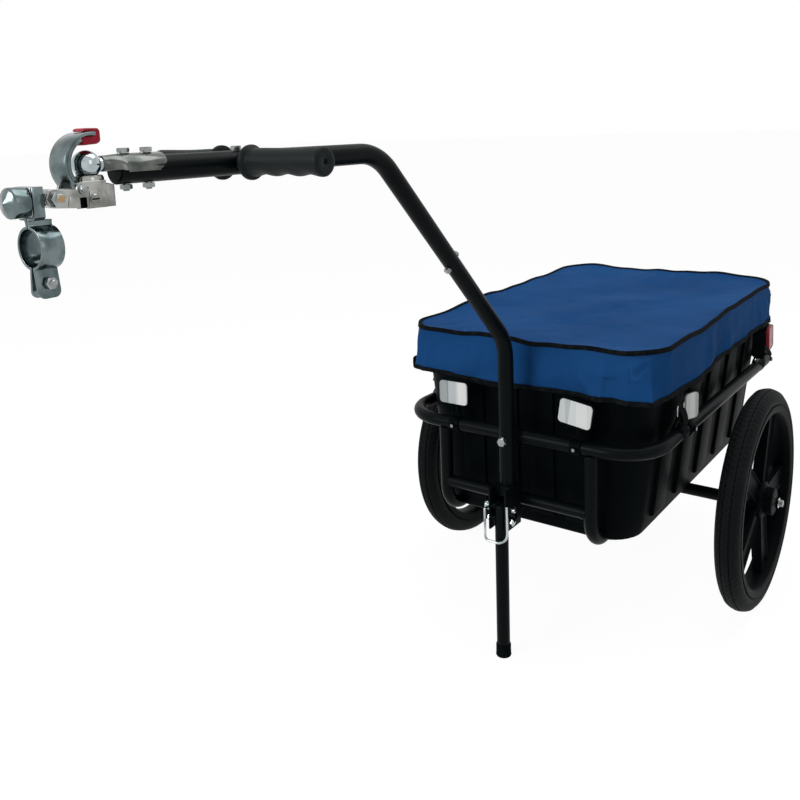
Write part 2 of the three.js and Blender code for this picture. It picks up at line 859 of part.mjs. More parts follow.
// Wire bail, measured from the lock pin
function lockBail() {
  const wire = bailWire / 2;
  const eyeOuter = bailEyeDiameter / 2;
  const path = new BentPath([
    point(-bailSide, wire / 2 - eyeOuter, 0), point(-bailSide, -bailForward, 0),
    point(-bailSide, -bailForward, -bailDrop), point(bailSide - wire, -bailForward, -bailDrop),
    point(bailSide - wire, -bailForward, bailFreeEnd),
  ], bailShoulder, bailBend);
  const eyeInner = cornerRadius(lockPinDiameter / 2 + clearance, boltSides);
  const eye = turned([
    [eyeInner, -wire], [eyeOuter, -wire], [eyeOuter, wire], [eyeInner, wire], [eyeInner, -wire],
  ], point(1, 0, 0), boltSides).translate(-bailSide, 0, 0);
  return join(solid(bentBar(path, wire, boltSides)), solid(eye));
}

// Drawbar tubes
const kneePoint = point(0, 0, kneeZ);
const elbowPoint = point(0, -elbowReach, drawbarZ);
const slant = elbowPoint.clone().sub(kneePoint).normalize();
const seamPoint = kneePoint.clone().addScaledVector(slant, seamAlong);
const jointBoltPlace = seamPoint.clone().addScaledVector(slant, -jointBoltFromSeam);
const jointBoltAxis = point(0, slant.z, -slant.y);

function jointBoltHole() {
  const reach = jointBoltAxis.clone().multiplyScalar(drawbarTube);
  return hole(jointBoltPlace.clone().sub(reach), jointBoltPlace.clone().add(reach), smallBolt);
}

function frameBoltHole() {
  return hole(point(0, -drawbarTube, ringZ), point(0, drawbarTube, ringZ), frameBolt);
}

function drawbarLower() {
  const path = (start, end) => new BentPath([point(0, 0, start), kneePoint, end], drawbarBend);
  const boreEnd = seamPoint.clone().addScaledVector(slant, overrun);
  const bore = solid(bentBar(path(drawbarBottomZ - overrun, boreEnd), drawbarRadius - drawbarWall));
  const tube = solid(bentBar(path(drawbarBottomZ, seamPoint), drawbarRadius));
  return cut(tube, bore, jointBoltHole(), frameBoltHole());
}

function hitchBoltPlaces() {
  return [hitchFrontBoltBack, hitchRearBoltBack].map((back) => back - drawbarReach);
}

function drawbarUpper() {
  const start = seamPoint.clone().addScaledVector(slant, clearance);
  const boreStart = seamPoint.clone().addScaledVector(slant, drawbarWall);
  const swageStart = seamPoint.clone().addScaledVector(slant, -swageLength);
  const along = (from, end) => new BentPath([from, elbowPoint, point(0, end, drawbarZ)], drawbarBend);
  const swageRadius = drawbarRadius - drawbarWall - clearance * 2;
  const tube = solid(bentBar(along(start, -drawbarReach), drawbarRadius));
  const swage = solid(rod(swageStart, boreStart, swageRadius, tubeSides));
  const bore = solid(bentBar(along(boreStart, -drawbarReach - overrun), drawbarRadius - drawbarWall));
  const swageBore = solid(rod(swageStart.clone().addScaledVector(slant, -overrun),
    boreStart.clone().addScaledVector(slant, overrun), swageRadius - swageWall, tubeSides));
  const wide = drawbarTube;
  const handleHole = solid(rod(point(-wide, handleY, drawbarZ), point(wide, handleY, drawbarZ),
    handleTube / 2 + clearance));
  const screwHole = hole(point(0, handleY, drawbarZ), point(0, handleY, drawbarZ + drawbarTube), smallBolt);
  const boltHoles = hitchBoltPlaces().map((y) => hole(
    point(0, y, drawbarZ - drawbarTube), point(0, y, drawbarZ + drawbarTube), smallBolt,
  ));
  return cut(join(tube, swage), bore, swageBore, jointBoltHole(), handleHole, screwHole, ...boltHoles);
}

function drawbarJointBolt() {
  const reach = jointBoltAxis.clone().multiplyScalar(drawbarRadius + clearance);
  return boltWithNut(jointBoltPlace.clone().sub(reach), jointBoltPlace.clone().add(reach), smallBolt);
}

function drawbarFrameBolt() {
  return boltWithNut(point(0, -drawbarRadius - clearance, ringZ),
    point(0, ringFrontY + frameRadius + clearance, ringZ), frameBolt);
}

// Handle
const handleY = handleFromEnd - drawbarReach;

function handleBar() {
  const outer = handleTube / 2;
  const inner = outer - handleWall;
  const end = handleHalf - gripEndWall - clearance;
  const tube = solid(turned([
    [inner, -end], [outer, -end], [outer, end], [inner, end], [inner, -end],
  ], point(1, 0, 0), roundSteps));
  return cut(tube, hole(point(0, 0, 0), point(0, 0, handleTube), smallBolt));
}

function handleScrew() {
  const head = point(0, 0, drawbarRadius + clearance);
  return boltWithNut(head, point(0, 0, handleTube / 2 - handleWall * 2), smallBolt, false);
}

// Moulded grip along X with finger hollows below
function grip(side) {
  const length = handleHalf - gripStart;
  const ringAt = (share, radius, hollow) => Array.from({ length: gripSides }, (_, k) => {
    const angle = (k * Math.PI * 2) / gripSides;
    const depth = hollow * Math.max(0, -Math.sin(angle));
    const r = radius - depth;
    return [side * (gripStart + share * length), r * Math.cos(angle), r * Math.sin(angle)];
  });
  const flangeShare = gripFlangeWidth / length;
  const flange = gripFlangeDiameter / 2;
  const outer = gripDiameter / 2;
  const bore = cornerRadius(handleTube / 2 + clearance, gripSides);
  const rings = [ringAt(0, bore, 0), ringAt(0, flange, 0), ringAt(flangeShare, flange, 0)];
  for (let k = 0; k <= gripSteps; k += 1) {
    const first = flangeShare + gripNeckShare;
    const share = first + (gripLastShare - first) * (k / gripSteps);
    const hollow = gripScallopDepth * (1 - Math.cos((k * gripScallops * 2 * Math.PI) / gripSteps)) / 2;
    rings.push(ringAt(share, outer, hollow));
  }
  rings.push(ringAt(1, outer - gripEndWall / 2, 0));
  rings.push(ringAt(1, gripEndHole / 2, 0));
  const endShare = 1 - gripEndWall / length;
  rings.push(ringAt(endShare, gripEndHole / 2, 0));
  rings.push(ringAt(endShare, bore, 0));
  return loft(rings, true);
}

// Hitch
function hitchSaddle() {
  const inner = drawbarRadius + clearance;
  const outer = inner + hitchWall;
  const front = -drawbarReach - hitchFrontGap;
  const rear = front + hitchLength;
  const shape = new THREE.Shape();
  shape.absarc(0, 0, outer, 0, Math.PI);
  shape.absarc(0, 0, inner, Math.PI, 0, true);
  const shell = solid(extrudeY(shape, front, rear).translate(0, 0, drawbarZ));
  const neckEnd = ballY + neckLength;
  const neckRear = neckEnd + neckDiameter / 2;
  const neckRadius = neckDiameter / 2;
  const neck = solid(turned([
    [0, neckEnd], [neckRadius * neckFrontShare, neckEnd], [neckRadius, neckRear],
    [neckRadius, front + neckDiameter],
    [0, front + neckDiameter],
  ], point(0, 1, 0)).translate(0, 0, ballZ));
  const tubeSpace = solid(rod(
    point(0, -drawbarReach - clearance, drawbarZ), point(0, rear + overrun, drawbarZ), inner,
  ));
  const shankHole = hole(point(0, neckEnd - overrun, ballZ), point(0, overrun - drawbarReach, ballZ), ballShank);
  const boltHoles = hitchBoltPlaces().map((y) => hole(
    point(0, y, drawbarZ), point(0, y, drawbarZ + drawbarTube), smallBolt,
  ));
  return cut(join(shell, neck), tubeSpace, shankHole, ...boltHoles);
}

function hitchBall() {
  const radius = ballDiameter / 2;
  const ball = solid(new THREE.SphereGeometry(radius, ballSteps, ballSteps / 2));
  const shankLength = ballForward - clearance * 2;
  const shank = solid(rod(point(0, 0, 0), point(0, shankLength, 0), ballShank / 2, boltSides));
  return join(ball, shank);
}

function hitchBolt(y) {
  const top = point(0, y, drawbarZ + drawbarRadius + hitchWall + clearance * 2);
  return boltWithNut(top, point(0, y, drawbarZ - drawbarRadius - clearance), smallBolt);
}

// Coupling, measured from the ball's centre
function couplingHead() {
  const inside = cheekInside / 2;
  const outside = inside + cheekWall;
  const acrossFlats = cornerRadius(ballDiameter / 2 + clearance, ballSteps);
  const cup = solid(new THREE.SphereGeometry(cornerRadius(acrossFlats, ballSteps), ballSteps, ballSteps / 2));
  const coreHalf = inside + overrun / 2;
  const core = solid(box(-coreHalf, coreHalf, -headFront, headRear, -headBottomBelow, -headTopBelow));
  const cheekShape = new THREE.Shape();
  cheekShape.moveTo(headFront, -headBottomBelow);
  cheekShape.lineTo(headFront, -catchPinBelow + cheekEar);
  cheekShape.lineTo(-catchPinForward, -catchPinBelow + cheekEar);
  cheekShape.absarc(-catchPinForward, -catchPinBelow, cheekEar, Math.PI / 2, Math.PI);
  cheekShape.lineTo(-pivotForward, -pivotBelow + cheekRound);
  cheekShape.absarc(-pivotForward, -pivotBelow, cheekRound, Math.PI / 2, Math.PI * 1.5);
  cheekShape.lineTo(-headFront, -headBottomBelow);
  const cheeks = [-outside, inside].map((x) => solid(extrudeX(cheekShape, x, x + cheekWall)));
  const screwEnd = outside + headScrewHeight;
  const screw = solid(rod(point(outside - cheekWall, headScrewBack, -headScrewBelow),
    point(screwEnd, headScrewBack, -headScrewBelow), headScrew / 2, boltSides));
  const wide = outside + overrun;
  const across = (forward, below, diameter) => hole(
    point(-wide, -forward, -below), point(wide, -forward, -below), diameter,
  );
  const pivotHole = across(pivotForward, pivotBelow, pivotBolt);
  const pinHole = across(catchPinForward, catchPinBelow, catchPinDiameter);
  return cut(join(core, ...cheeks, screw), cup, pivotHole, pinHole);
}

// A band about the ball between two angles, from +Y toward +Z
function arcBand(inner, outer, from, to, x0, x1) {
  const shape = new THREE.Shape();
  shape.absarc(0, 0, outer, degrees(from), degrees(to));
  shape.absarc(0, 0, inner, degrees(to), degrees(from), true);
  return solid(extrudeX(shape, x0, x1));
}

function catchStrap() {
  const half = catchWidth / 2;
  const inner = catchOuterRadius - catchWall;
  const band = arcBand(inner, catchOuterRadius, catchStartAngle, catchEndAngle, -half, half);
  const flangeBand = (x0) => arcBand(inner - catchFlange, catchOuterRadius - catchWall / 2,
    catchFlangeStartAngle, catchFlangeEndAngle, x0, x0 + catchFlangeWidth);
  const onPin = (x) => point(x, -catchPinForward, -catchPinBelow);
  const lug = solid(rod(onPin(-half), onPin(half), catchLug));
  const wide = half + overrun;
  const pinHole = hole(onPin(-wide), onPin(wide), catchPinDiameter);
  return cut(join(band, flangeBand(-half), flangeBand(half - catchFlangeWidth), lug), pinHole);
}

function catchGrip() {
  const half = catchWidth / 2;
  const inner = catchOuterRadius - catchWall;
  const top = catchOuterRadius + gripLeg;
  const under = inner - gripUnderWall;
  const shape = outline([
    [-gripFront, top - gripLeg * 2], [-gripFront + gripLeg / 2, top - gripLeg / 2], [-gripFront / 2, top],
    [gripRear - gripLeg, top], [gripRear, top - gripLeg], [gripRear, under + gripLeg],
    [gripRear - gripLeg, under], [-gripUnderFront, under], [-gripUnderFront, top - gripLeg],
  ]);
  const space = arcBand(inner - clearance, catchOuterRadius + clearance, catchStartAngle - 2, 180,
    -half - overrun, half + overrun);
  return cut(solid(extrudeX(shape, -half, half)), space);
}

function catchPin() {
  const end = cheekInside / 2 + cheekWall + clearance;
  const radius = catchPinDiameter / 2;
  const head = radius * catchPinHeadShare;
  const height = catchPinDiameter * headHeightShare / 2;
  return turned([
    [0, -end - height], [head, -end - height], [head, -end], [radius, -end], [radius, end], [head, end],
    [head, end + height], [0, end + height],
  ], point(1, 0, 0));
}

function pivotBoltBody() {
  const end = cheekInside / 2 + cheekWall + clearance;
  const tail = end + pivotBolt * headHeightShare + clearance + pivotBolt / 4;
  return boltWithNut(point(-end, 0, 0), point(tail, 0, 0), pivotBolt, false);
}

function pivotNut() {
  const start = cheekInside / 2 + cheekWall + clearance;
  const end = start + pivotBolt * headHeightShare;
  const body = solid(rod(point(start, 0, 0), point(end, 0, 0), (pivotBolt / 2) * headAcrossShare, 6));
  return cut(body, hole(point(start - overrun, 0, 0), point(end + overrun, 0, 0), pivotBolt));
}

// Swivel and clamp, measured from the pivot bolt
const capStart = -swivelPlateForward - clearance;
const plateRear = -swivelPlateForward + swivelPlate;
const shankEnd = capStart - capLength + swivelPlate;

function swivelEye() {
  const half = cheekInside / 2 - clearance;
  const eye = solid(rod(point(-half, 0, 0), point(half, 0, 0), eyeRadius));
  const shank = solid(rod(
    point(0, 0, -swivelBelowPivot), point(0, shankEnd, -swivelBelowPivot), swivelShank / 2, boltSides,
  ));
  const collarFront = plateRear + clearance;
  const collar = solid(rod(point(0, collarFront, -swivelBelowPivot),
    point(0, collarFront + swivelCollarLength, -swivelBelowPivot), swivelCollarDiameter / 2));
  const boltHole = hole(point(-half - overrun, 0, 0), point(half + overrun, 0, 0), pivotBolt);
  return cut(join(eye, shank, collar), boltHole);
}

function swivelCap() {
  const radius = capDiameter / 2;
  const pocket = cornerRadius(swivelShank / 2 + clearance, roundSteps);
  const depth = -shankEnd + clearance;
  const start = -capStart;
  const end = start + capLength;
  return turned([
    [pocket, start], [radius, start], [radius, end - capCone / 2], [radius - capCone / 2, end],
    [capCone / 2, end + capCone / 2], [0, end + capCone], [0, depth], [pocket, depth], [pocket, start],
  ], point(0, -1, 0));
}

function swivelBracket() {
  const half = swivelBracketWidth / 2;
  const tall = swivelBracketHeight / 2;
  const front = -swivelPlateForward;
  const outer = solid(box(-half, half, front, front + swivelBracketLength, -tall, tall));
  const inside = solid(box(-half - overrun, half + overrun,
    front + swivelPlate, front + swivelBracketLength + overrun, swivelPlate - tall, tall - swivelPlate));
  const shankHole = hole(point(0, front - overrun, 0), point(0, front + swivelPlate + overrun, 0), swivelShank);
  return cut(outer, inside, shankHole);
}

// One pressed half of the seat post clamp, on the +X side; drawn from the swivel's axis
function seatClampHalf(side) {
  const wallInner = swivelBracketWidth / 2 + clearance;
  const wallOuter = wallInner + clampThickness;
  const innerRadius = clampInside / 2;
  const outerRadius = innerRadius + clampThickness;
  const split = clampSplit / 2;
  const neck = split + clampThickness;
  const footTop = -clampFootBelow + clampThickness / 2;
  const footBottom = footTop - clampThickness;
  const centre = -clampBelowSwivel;
  const outerStart = Math.asin(neck / outerRadius);
  const innerStart = Math.asin(split / innerRadius);
  const tabEnd = centre - clampTabLength;
  const shape = new THREE.Shape();
  shape.moveTo(wallInner, clampWallTop);
  shape.lineTo(wallInner, footTop);
  shape.lineTo(split, footTop);
  shape.lineTo(split, centre + innerRadius * Math.cos(innerStart));
  const innerEnd = innerStart * clampInnerArcShare - Math.PI / 2;
  const outerBegin = outerStart * clampOuterArcShare - Math.PI / 2;
  shape.absarc(0, centre, innerRadius, Math.PI / 2 - innerStart, innerEnd, true);
  shape.lineTo(clampTabTop - clampThickness / 2, centre - outerRadius);
  shape.lineTo(clampTabBottom - clampThickness / 2, tabEnd);
  shape.lineTo(clampTabBottom + clampThickness / 2, tabEnd);
  shape.lineTo(clampTabTop + clampThickness / 2, centre - outerRadius);
  shape.absarc(0, centre, outerRadius, outerBegin, Math.PI / 2 - outerStart);
  shape.lineTo(neck, footBottom);
  shape.lineTo(wallOuter, footBottom);
  shape.lineTo(wallOuter, clampWallTop);
  const rear = -swivelPlateForward + clampWidth;
  const strip = solid(extrudeY(shape, -swivelPlateForward, rear));
  const cheekSpace = solid(box(cheekInside / 4, wallOuter + overrun,
    swivelBracketLength - swivelPlateForward, rear + overrun,
    footBottom - overrun / 2, clampWallTop + overrun));
  const boltHole = hole(
    point(-capDiameter, clampBoltY, clampBoltZ), point(capDiameter, clampBoltY, clampBoltZ), smallBolt,
  );
  const half = cut(strip, cheekSpace, boltHole);
  return onSide(half, side);
}

const clampBoltY = clampBoltBack - swivelPlateForward + swivelPlate;
const clampBoltZ = -clampBelowSwivel - clampBoltBelow;

// How far out the bolt's head lies from the middle of the splayed tabs
function clampBoltReach() {
  const tabStart = clampInside / 2 + clampThickness;
  const slope = (clampTabBottom - clampTabTop) / (clampTabLength - tabStart);
  const lowEdge = clampBoltBelow + (smallBolt / 2) * headAcrossShare;
  return clampTabTop + slope * (lowEdge - tabStart) + clampThickness / 2 + clearance * 2;
}

function seatClampBolt() {
  const reach = clampBoltReach();
  const tail = reach + smallBolt * headHeightShare + clearance + smallBolt / 3;
  return boltWithNut(point(-reach, 0, 0), point(tail, 0, 0), smallBolt, false);
}

function seatClampNut() {
  const start = clampBoltReach();
  const end = start + smallBolt * headHeightShare;
  const body = solid(rod(point(start, 0, 0), point(end, 0, 0), (smallBolt / 2) * headAcrossShare, 6));
  return cut(body, hole(point(start - overrun, 0, 0), point(end + overrun, 0, 0), smallBolt));
}

// Points round a rounded rectangle, the same count for every size; ribs stand out from the straight sides
function roundedRing(halfWidth, halfLength, corner, z, counts, shape) {
  const points = [];
  const sides = [[1, 0], [0, 1], [-1, 0], [0, -1]];
  for (const [outX, outY] of sides) {
    const [alongX, alongY] = [-outY, outX];
    const reachOut = Math.abs(outX) * halfWidth + Math.abs(outY) * halfLength;
    const reachAlong = Math.abs(alongX) * halfWidth + Math.abs(alongY) * halfLength;
    const straight = reachAlong - corner;
    const stops = shape(straight, outX !== 0);
    for (const [along, raise] of stops) {
      const out = reachOut + raise;
      points.push([outX * out + alongX * along, outY * out + alongY * along, z]);
    }
    for (let k = 0; k <= counts.corner; k += 1) {
      const angle = (Math.PI / 2) * (k / counts.corner);
      const out = reachOut - corner + corner * Math.cos(angle);
      const along = straight + corner * Math.sin(angle);
      points.push([outX * out + alongX * along, outY * out + alongY * along, z]);
    }
  }
  return points;
}

function ribStops(depth) {
  return (straight, alongSide) => {
    const count = alongSide ? tubSideRibs : tubEndRibs;
    const stops = [[-straight, 0]];
    for (let k = 0; k < count; k += 1) {
      const middle = -straight + (2 * straight * (k + 0.5)) / count;
      const half = tubRibWidth / 2;
      const slope = half - tubRibSlope / 2;
      stops.push([middle - half, 0], [middle - slope, depth], [middle + slope, depth], [middle + half, 0]);
    }
    return stops;
  };
}

function tubRing(widthShare, inset, height, depth = 0) {
  const width = tubBottomWidth + (tubTopWidth - 2 * tubLip - tubBottomWidth) * widthShare;
  const length = tubBottomLength + (tubTopLength - 2 * tubLip - tubBottomLength) * widthShare;
  const corner = tubCorner - tubLip - inset;
  const ring = roundedRing(width / 2 - inset, length / 2 - inset, corner, height, { corner: tubCornerSteps },
    ribStops(depth));
  const tiltShare = height / tubHeight;
  return ring.map(([x, y, z]) => [x, y, z + (tubTilt * tiltShare * y) / tubTopLength]);
}

// Space round a rail under the tub's floor
function railGroove(x, radius) {
  const bar = solid(bentBar(railPath(x), radius));
  const slab = solid(box(x - radius, x + radius, ringFrontY, ringRearY, tubFloorZ - overrun * 2, railZ));
  return join(bar, slab);
}

function tub() {
  const lipTop = tubHeight;
  const lipBottom = tubHeight - tubLipHeight;
  const outerRings = [
    tubRing(0, tubFootRound / 2, 0),
    tubRing(0, 0, tubFootRound),
    tubRing(tubRibBottom / tubHeight, 0, tubRibBottom, tubRibDepth),
    tubRing(1 - tubRibTop / tubHeight, 0, tubHeight - tubRibTop, tubRibDepth),
    tubRing(1 - tubLipHeight / tubHeight, 0, lipBottom),
    tubRing(1, -tubLip, lipBottom + tubLipUnder),
    tubRing(1, -tubLip, lipTop),
  ];
  const innerRings = [
    tubRing(0, tubWall + tubFootRound / 2, tubWall),
    tubRing(1, tubWall, lipTop + overrun),
  ];
  const placed = (rings) => solid(loft(rings).translate(0, bayCentreY, tubFloorZ));
  const rails = [-railSpacing / 2, railSpacing / 2];
  const outer = cut(placed(outerRings), ...rails.map((x) => railGroove(x, frameRadius + clearance)));
  const inner = cut(placed(innerRings), ...rails.map((x) => railGroove(x, frameRadius + clearance + tubWall)));
  return cut(outer, inner);
}

// Fabric cover: a soft lid that sags between its edges, with a skirt that hangs in shallow folds
function coverRing(share, height, grow, inset, fold) {
  const halfWidth = (tubTopWidth / 2 + coverGap + coverThickness + grow) * share - inset;
  const halfLength = (tubTopLength / 2 + coverGap + coverThickness + grow) * share - inset;
  const corner = coverCorner * share - inset;
  const stops = (straight, alongSide) => {
    const count = alongSide ? coverSideSteps : coverEndSteps;
    return Array.from({ length: count }, (_, k) => [-straight + (2 * straight * k) / count, 0]);
  };
  const ring = roundedRing(halfWidth, halfLength, corner, height, { corner: coverCornerSteps }, stops);
  return ring.map(([x, y, z]) => {
    const around = Math.atan2(y / tubTopLength, x / tubTopWidth);
    const push = 1 + (fold * coverWave * (1 + Math.sin(around * coverWaves))) / tubTopWidth;
    const slackShare = Math.max(0, 1 - (share / coverRimShare) ** 2);
    const sag = coverSag * slackShare * (1 - coverRidgeShare(x, y));
    return [x * push, y * push, z - sag + (tubTilt * y) / tubTopLength];
  });
}

// Low ridges that run over the lid from corner to corner
function coverRidgeShare(x, y) {
  const across = (2 * x) / tubTopWidth;
  const along = (2 * y) / tubTopLength;
  const firstDiagonal = Math.exp(-(((across - along) * coverRidgeNarrowing) ** 2));
  const secondDiagonal = Math.exp(-(((across + along) * coverRidgeNarrowing) ** 2));
  return (coverRidge / coverSag) * Math.max(firstDiagonal, secondDiagonal);
}

function cover() {
  const top = tubHeight + clearance + coverThickness;
  const hem = top - coverDrop;
  const skirt = coverSkirtShares.map((riseShare) => {
    const flareShare = 1 - riseShare;
    return { height: hem + riseShare * coverDrop, grow: coverFlare * flareShare, fold: flareShare };
  });
  const skin = (inset) => [
    ...skirt.map((level) => coverRing(1, level.height, level.grow, inset, level.fold)),
    coverRing(1, top - coverThickness, 0, inset, 0),
    ...coverTopShares.map((share) => coverRing(share, top - inset, 0, inset, 0)),
  ];
  const closeLid = (rings) => {
    const last = rings[rings.length - 1];
    return rings.concat([coverMiddle(last)]);
  };
  const outside = closeLid(skin(0));
  const inside = closeLid(skin(coverThickness)).reverse();
  return loft(outside.concat(inside), true).translate(0, bayCentreY, tubFloorZ);
}

// The last ring of the lid drawn in to one point
function coverMiddle(ring) {
  const middle = [0, 1, 2].map((axis) => ring.reduce((sum, p) => sum + p[axis], 0) / ring.length);
  return ring.map(() => middle);
}

// A webbing strap from the cover's hem round the ring tube, with a buckle
function strap(side) {
  const ringX = ringWidth / 2;
  const hookInner = frameRadius + clearance;
  const hookOuter = hookInner + strapThickness;
  const hemInner = tubTopWidth / 2 + coverGap - strapFromHem;
  const top = tubTopZ - coverDrop + strapTop;
  const hook = new THREE.Shape().absarc(ringX, ringZ, hookOuter, 0, Math.PI * 2);
  const band = outline([
    [hemInner, ringZ], [hemInner, top], [hemInner - strapThickness, top], [hemInner - strapThickness, ringZ],
  ]);
  const buckleX = hemInner - strapThickness / 2;
  const buckleBottom = ringZ + hookOuter + strapThickness;
  const half = strapWidth / 2;
  const buckle = solid(box(buckleX - buckleThickness / 2, buckleX + buckleThickness / 2,
    -buckleWidth / 2, buckleWidth / 2, buckleBottom, buckleBottom + buckleHeight));
  const loop = solid(extrudeY(hook, -half, half));
  const space = solid(rod(point(ringX, -strapWidth, ringZ), point(ringX, strapWidth, ringZ), hookInner));
  const body = cut(join(loop, solid(extrudeY(band, -half, half)), buckle), space);
  return onSide(body, side);
}

// A reflector on a stem with a clip over the ring tube; drawn facing -Y with the tube along X at the origin
function reflector(width, height, rise, lensTurn = 0) {
  const clipInner = frameRadius + clearance;
  const clipOuter = clipInner + clipWall;
  const half = stemWidth / 2;
  const clip = solid(rod(point(-half, 0, 0), point(half, 0, 0), clipOuter));
  const space = solid(rod(point(-half - overrun, 0, 0), point(half + overrun, 0, 0), clipInner));
  const below = solid(box(-half - overrun, half + overrun, -clipOuter - overrun, clipOuter + overrun,
    -clipOuter - overrun, -clipDrop));
  const back = stemThickness / 2;
  const stem = solid(box(-half, half, -back, back, 0, rise));
  const lensShape = roundedRectangle(0, rise, width, height, lensCorner);
  const lensBlock = extrudeY(lensShape, -back - lensThickness, clearance - back, 1);
  return cut(join(clip, stem, solid(lensBlock.rotateZ(degrees(lensTurn)))), space, below);
}

// A rear reflector on the first flat of the ring's bend; its lens looks sideways
function rearReflector(side) {
  const bendAngle = 45 / bendSteps;
  const middleRadius = ringBend * Math.cos(degrees(bendAngle));
  const bendX = ringWidth / 2 - ringBend + middleRadius * Math.cos(degrees(bendAngle));
  const bendY = ringRearY - ringBend + middleRadius * Math.sin(degrees(bendAngle));
  const body = geometryOf(reflector(rearLensWidth, rearLensHeight, rearLensRise, -bendAngle));
  return body.rotateZ(degrees(90 + bendAngle)).translate(bendX, bendY, ringZ).scale(side, 1, 1);
}

function reflectors() {
  const frontX = frontLensSpacing / 2;
  const sideX = ringWidth / 2;
  const sideY = ringFrontY + sideLensAlong;
  const front = () => reflector(frontLensWidth, frontLensHeight, frontLensRise);
  const beside = (side) => {
    const body = reflector(sideLensWidth, sideLensHeight, sideLensRise);
    return geometryOf(body).rotateZ(degrees(side * 90));
  };
  return [
    piece('reflector_front_left', front(), whiteLens, -frontX, ringFrontY, ringZ),
    piece('reflector_front_right', front(), whiteLens, frontX, ringFrontY, ringZ),
    piece('reflector_side_left', beside(-1), whiteLens, -sideX, sideY, ringZ),
    piece('reflector_side_right', beside(1), whiteLens, sideX, sideY, ringZ),
    piece('reflector_rear_left', rearReflector(-1), redLens),
    piece('reflector_rear_right', rearReflector(1), redLens),
  ];
}

function straps() {
  const places = [['front', ringFrontY + strapFromFront], ['rear', ringRearY - strapFromRear]];
  return places.flatMap(([end, y]) => [[-1, 'left'], [1, 'right']].map(([side, name]) => piece(
    `strap_${end}_${name}`, strap(side), blackPlastic, 0, y, 0,
  )));
}

function frame() {
  const railX = railSpacing / 2;
  return [
    piece('ring_front', ringFront(), blackPaint),
    piece('ring_rear', ringRear(), blackPaint),
    piece('rail_left', rail(-railX), blackPaint),
    piece('rail_right', rail(railX), blackPaint),
    piece('front_crossbar', crossbar(ringFrontY), blackPaint),
    piece('rear_crossbar', crossbar(ringRearY), blackPaint),
    piece('axle_beam', axleBeam(), blackPaint),
    piece('drawbar_bracket', drawbarBracket(), blackPaint),
  ];
}

function stand() {
  return assembly(0, standSetback, standPivotZ,
    piece('stand_leg', standLeg(), blackPaint),
    piece('stand_foot', standFoot(), blackRubber),
    piece('stand_bolt', standBolt(), chrome),
    assembly(0, 0, lockPinAbovePivot,
      piece('lock_pin', lockPin(), chrome),
      piece('lock_bail', lockBail(), chrome)));
}

function drawbar() {
  const [frontBoltY, rearBoltY] = hitchBoltPlaces();
  return [
    piece('drawbar_lower', drawbarLower(), blackPaint),
    piece('drawbar_upper', drawbarUpper(), blackPaint),
    piece('drawbar_joint_bolt', drawbarJointBolt(), zinc),
    piece('drawbar_frame_bolt', drawbarFrameBolt(), zinc),
    assembly(0, handleY, drawbarZ,
      piece('handle_bar', handleBar(), blackPaint),
      piece('handle_screw', handleScrew(), zinc),
      piece('grip_left', grip(-1), blackRubber),
      piece('grip_right', grip(1), blackRubber)),
    piece('hitch_saddle', hitchSaddle(), zinc),
    piece('hitch_ball', hitchBall(), chrome, 0, ballY, ballZ),
    piece('hitch_bolt_front', hitchBolt(frontBoltY), zinc),
    piece('hitch_bolt_rear', hitchBolt(rearBoltY), zinc),
  ];
}

function coupling() {
  const swivel = assembly(0, 0, -swivelBelowPivot,
    piece('swivel_cap', swivelCap(), zinc),
    piece('swivel_bracket', swivelBracket(), zinc),
    piece('seat_clamp_left', seatClampHalf(-1), zinc),
    piece('seat_clamp_right', seatClampHalf(1), zinc),
    piece('seat_clamp_bolt', seatClampBolt(), zinc, 0, clampBoltY, clampBoltZ),
    piece('seat_clamp_nut', seatClampNut(), zinc, 0, clampBoltY, clampBoltZ));
  const hinged = assembly(0, -pivotForward, -pivotBelow,
    piece('pivot_bolt', pivotBoltBody(), zinc),
    piece('pivot_nut', pivotNut(), zinc),
    piece('swivel_eye', swivelEye(), zinc),
    swivel);
  return assembly(0, ballY, ballZ,
    piece('coupling_head', couplingHead(), zinc),
    piece('catch_strap', catchStrap(), zinc),
    piece('catch_grip', catchGrip(), redPlastic),
    piece('catch_pin', catchPin(), zinc, 0, -catchPinForward, -catchPinBelow),
    hinged);
}

const trailer = new THREE.Group();
trailer.add(...frame(), ...wheelSet(-1, 'left'), ...wheelSet(1, 'right'), stand());
trailer.add(...drawbar(), coupling());
trailer.add(piece('tub', tub(), blackPlastic), piece('cover', cover(), blueFabric));
trailer.add(...straps(), ...reflectors());

// The origin is the middle of the whole part's box, on the floor
trailer.updateMatrixWorld(true);
const bounds = new THREE.Box3().setFromObject(trailer, true);
const middle = bounds.getCenter(new THREE.Vector3());
trailer.position.set(-middle.x, -middle.y, -bounds.min.z);

export default trailer;
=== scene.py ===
# %% [markdown]
# # A cargo bike trailer
# A plastic tub with a blue fabric cover rides in a frame of bent steel tube on two wheels.
# A cranked drawbar leads to a ball coupling and a clamp for a bicycle's seat post.
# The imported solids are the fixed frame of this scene. Each step below dresses one piece of it.
# Places and the measures of the tub, the cover and the spokes are in metres. Profiles, outlines of
# plates, tube radii and thicknesses are in millimetres, and `MM` turns one into the other.

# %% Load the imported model
import math

import bmesh
import bpy
from mathutils import Matrix, Vector


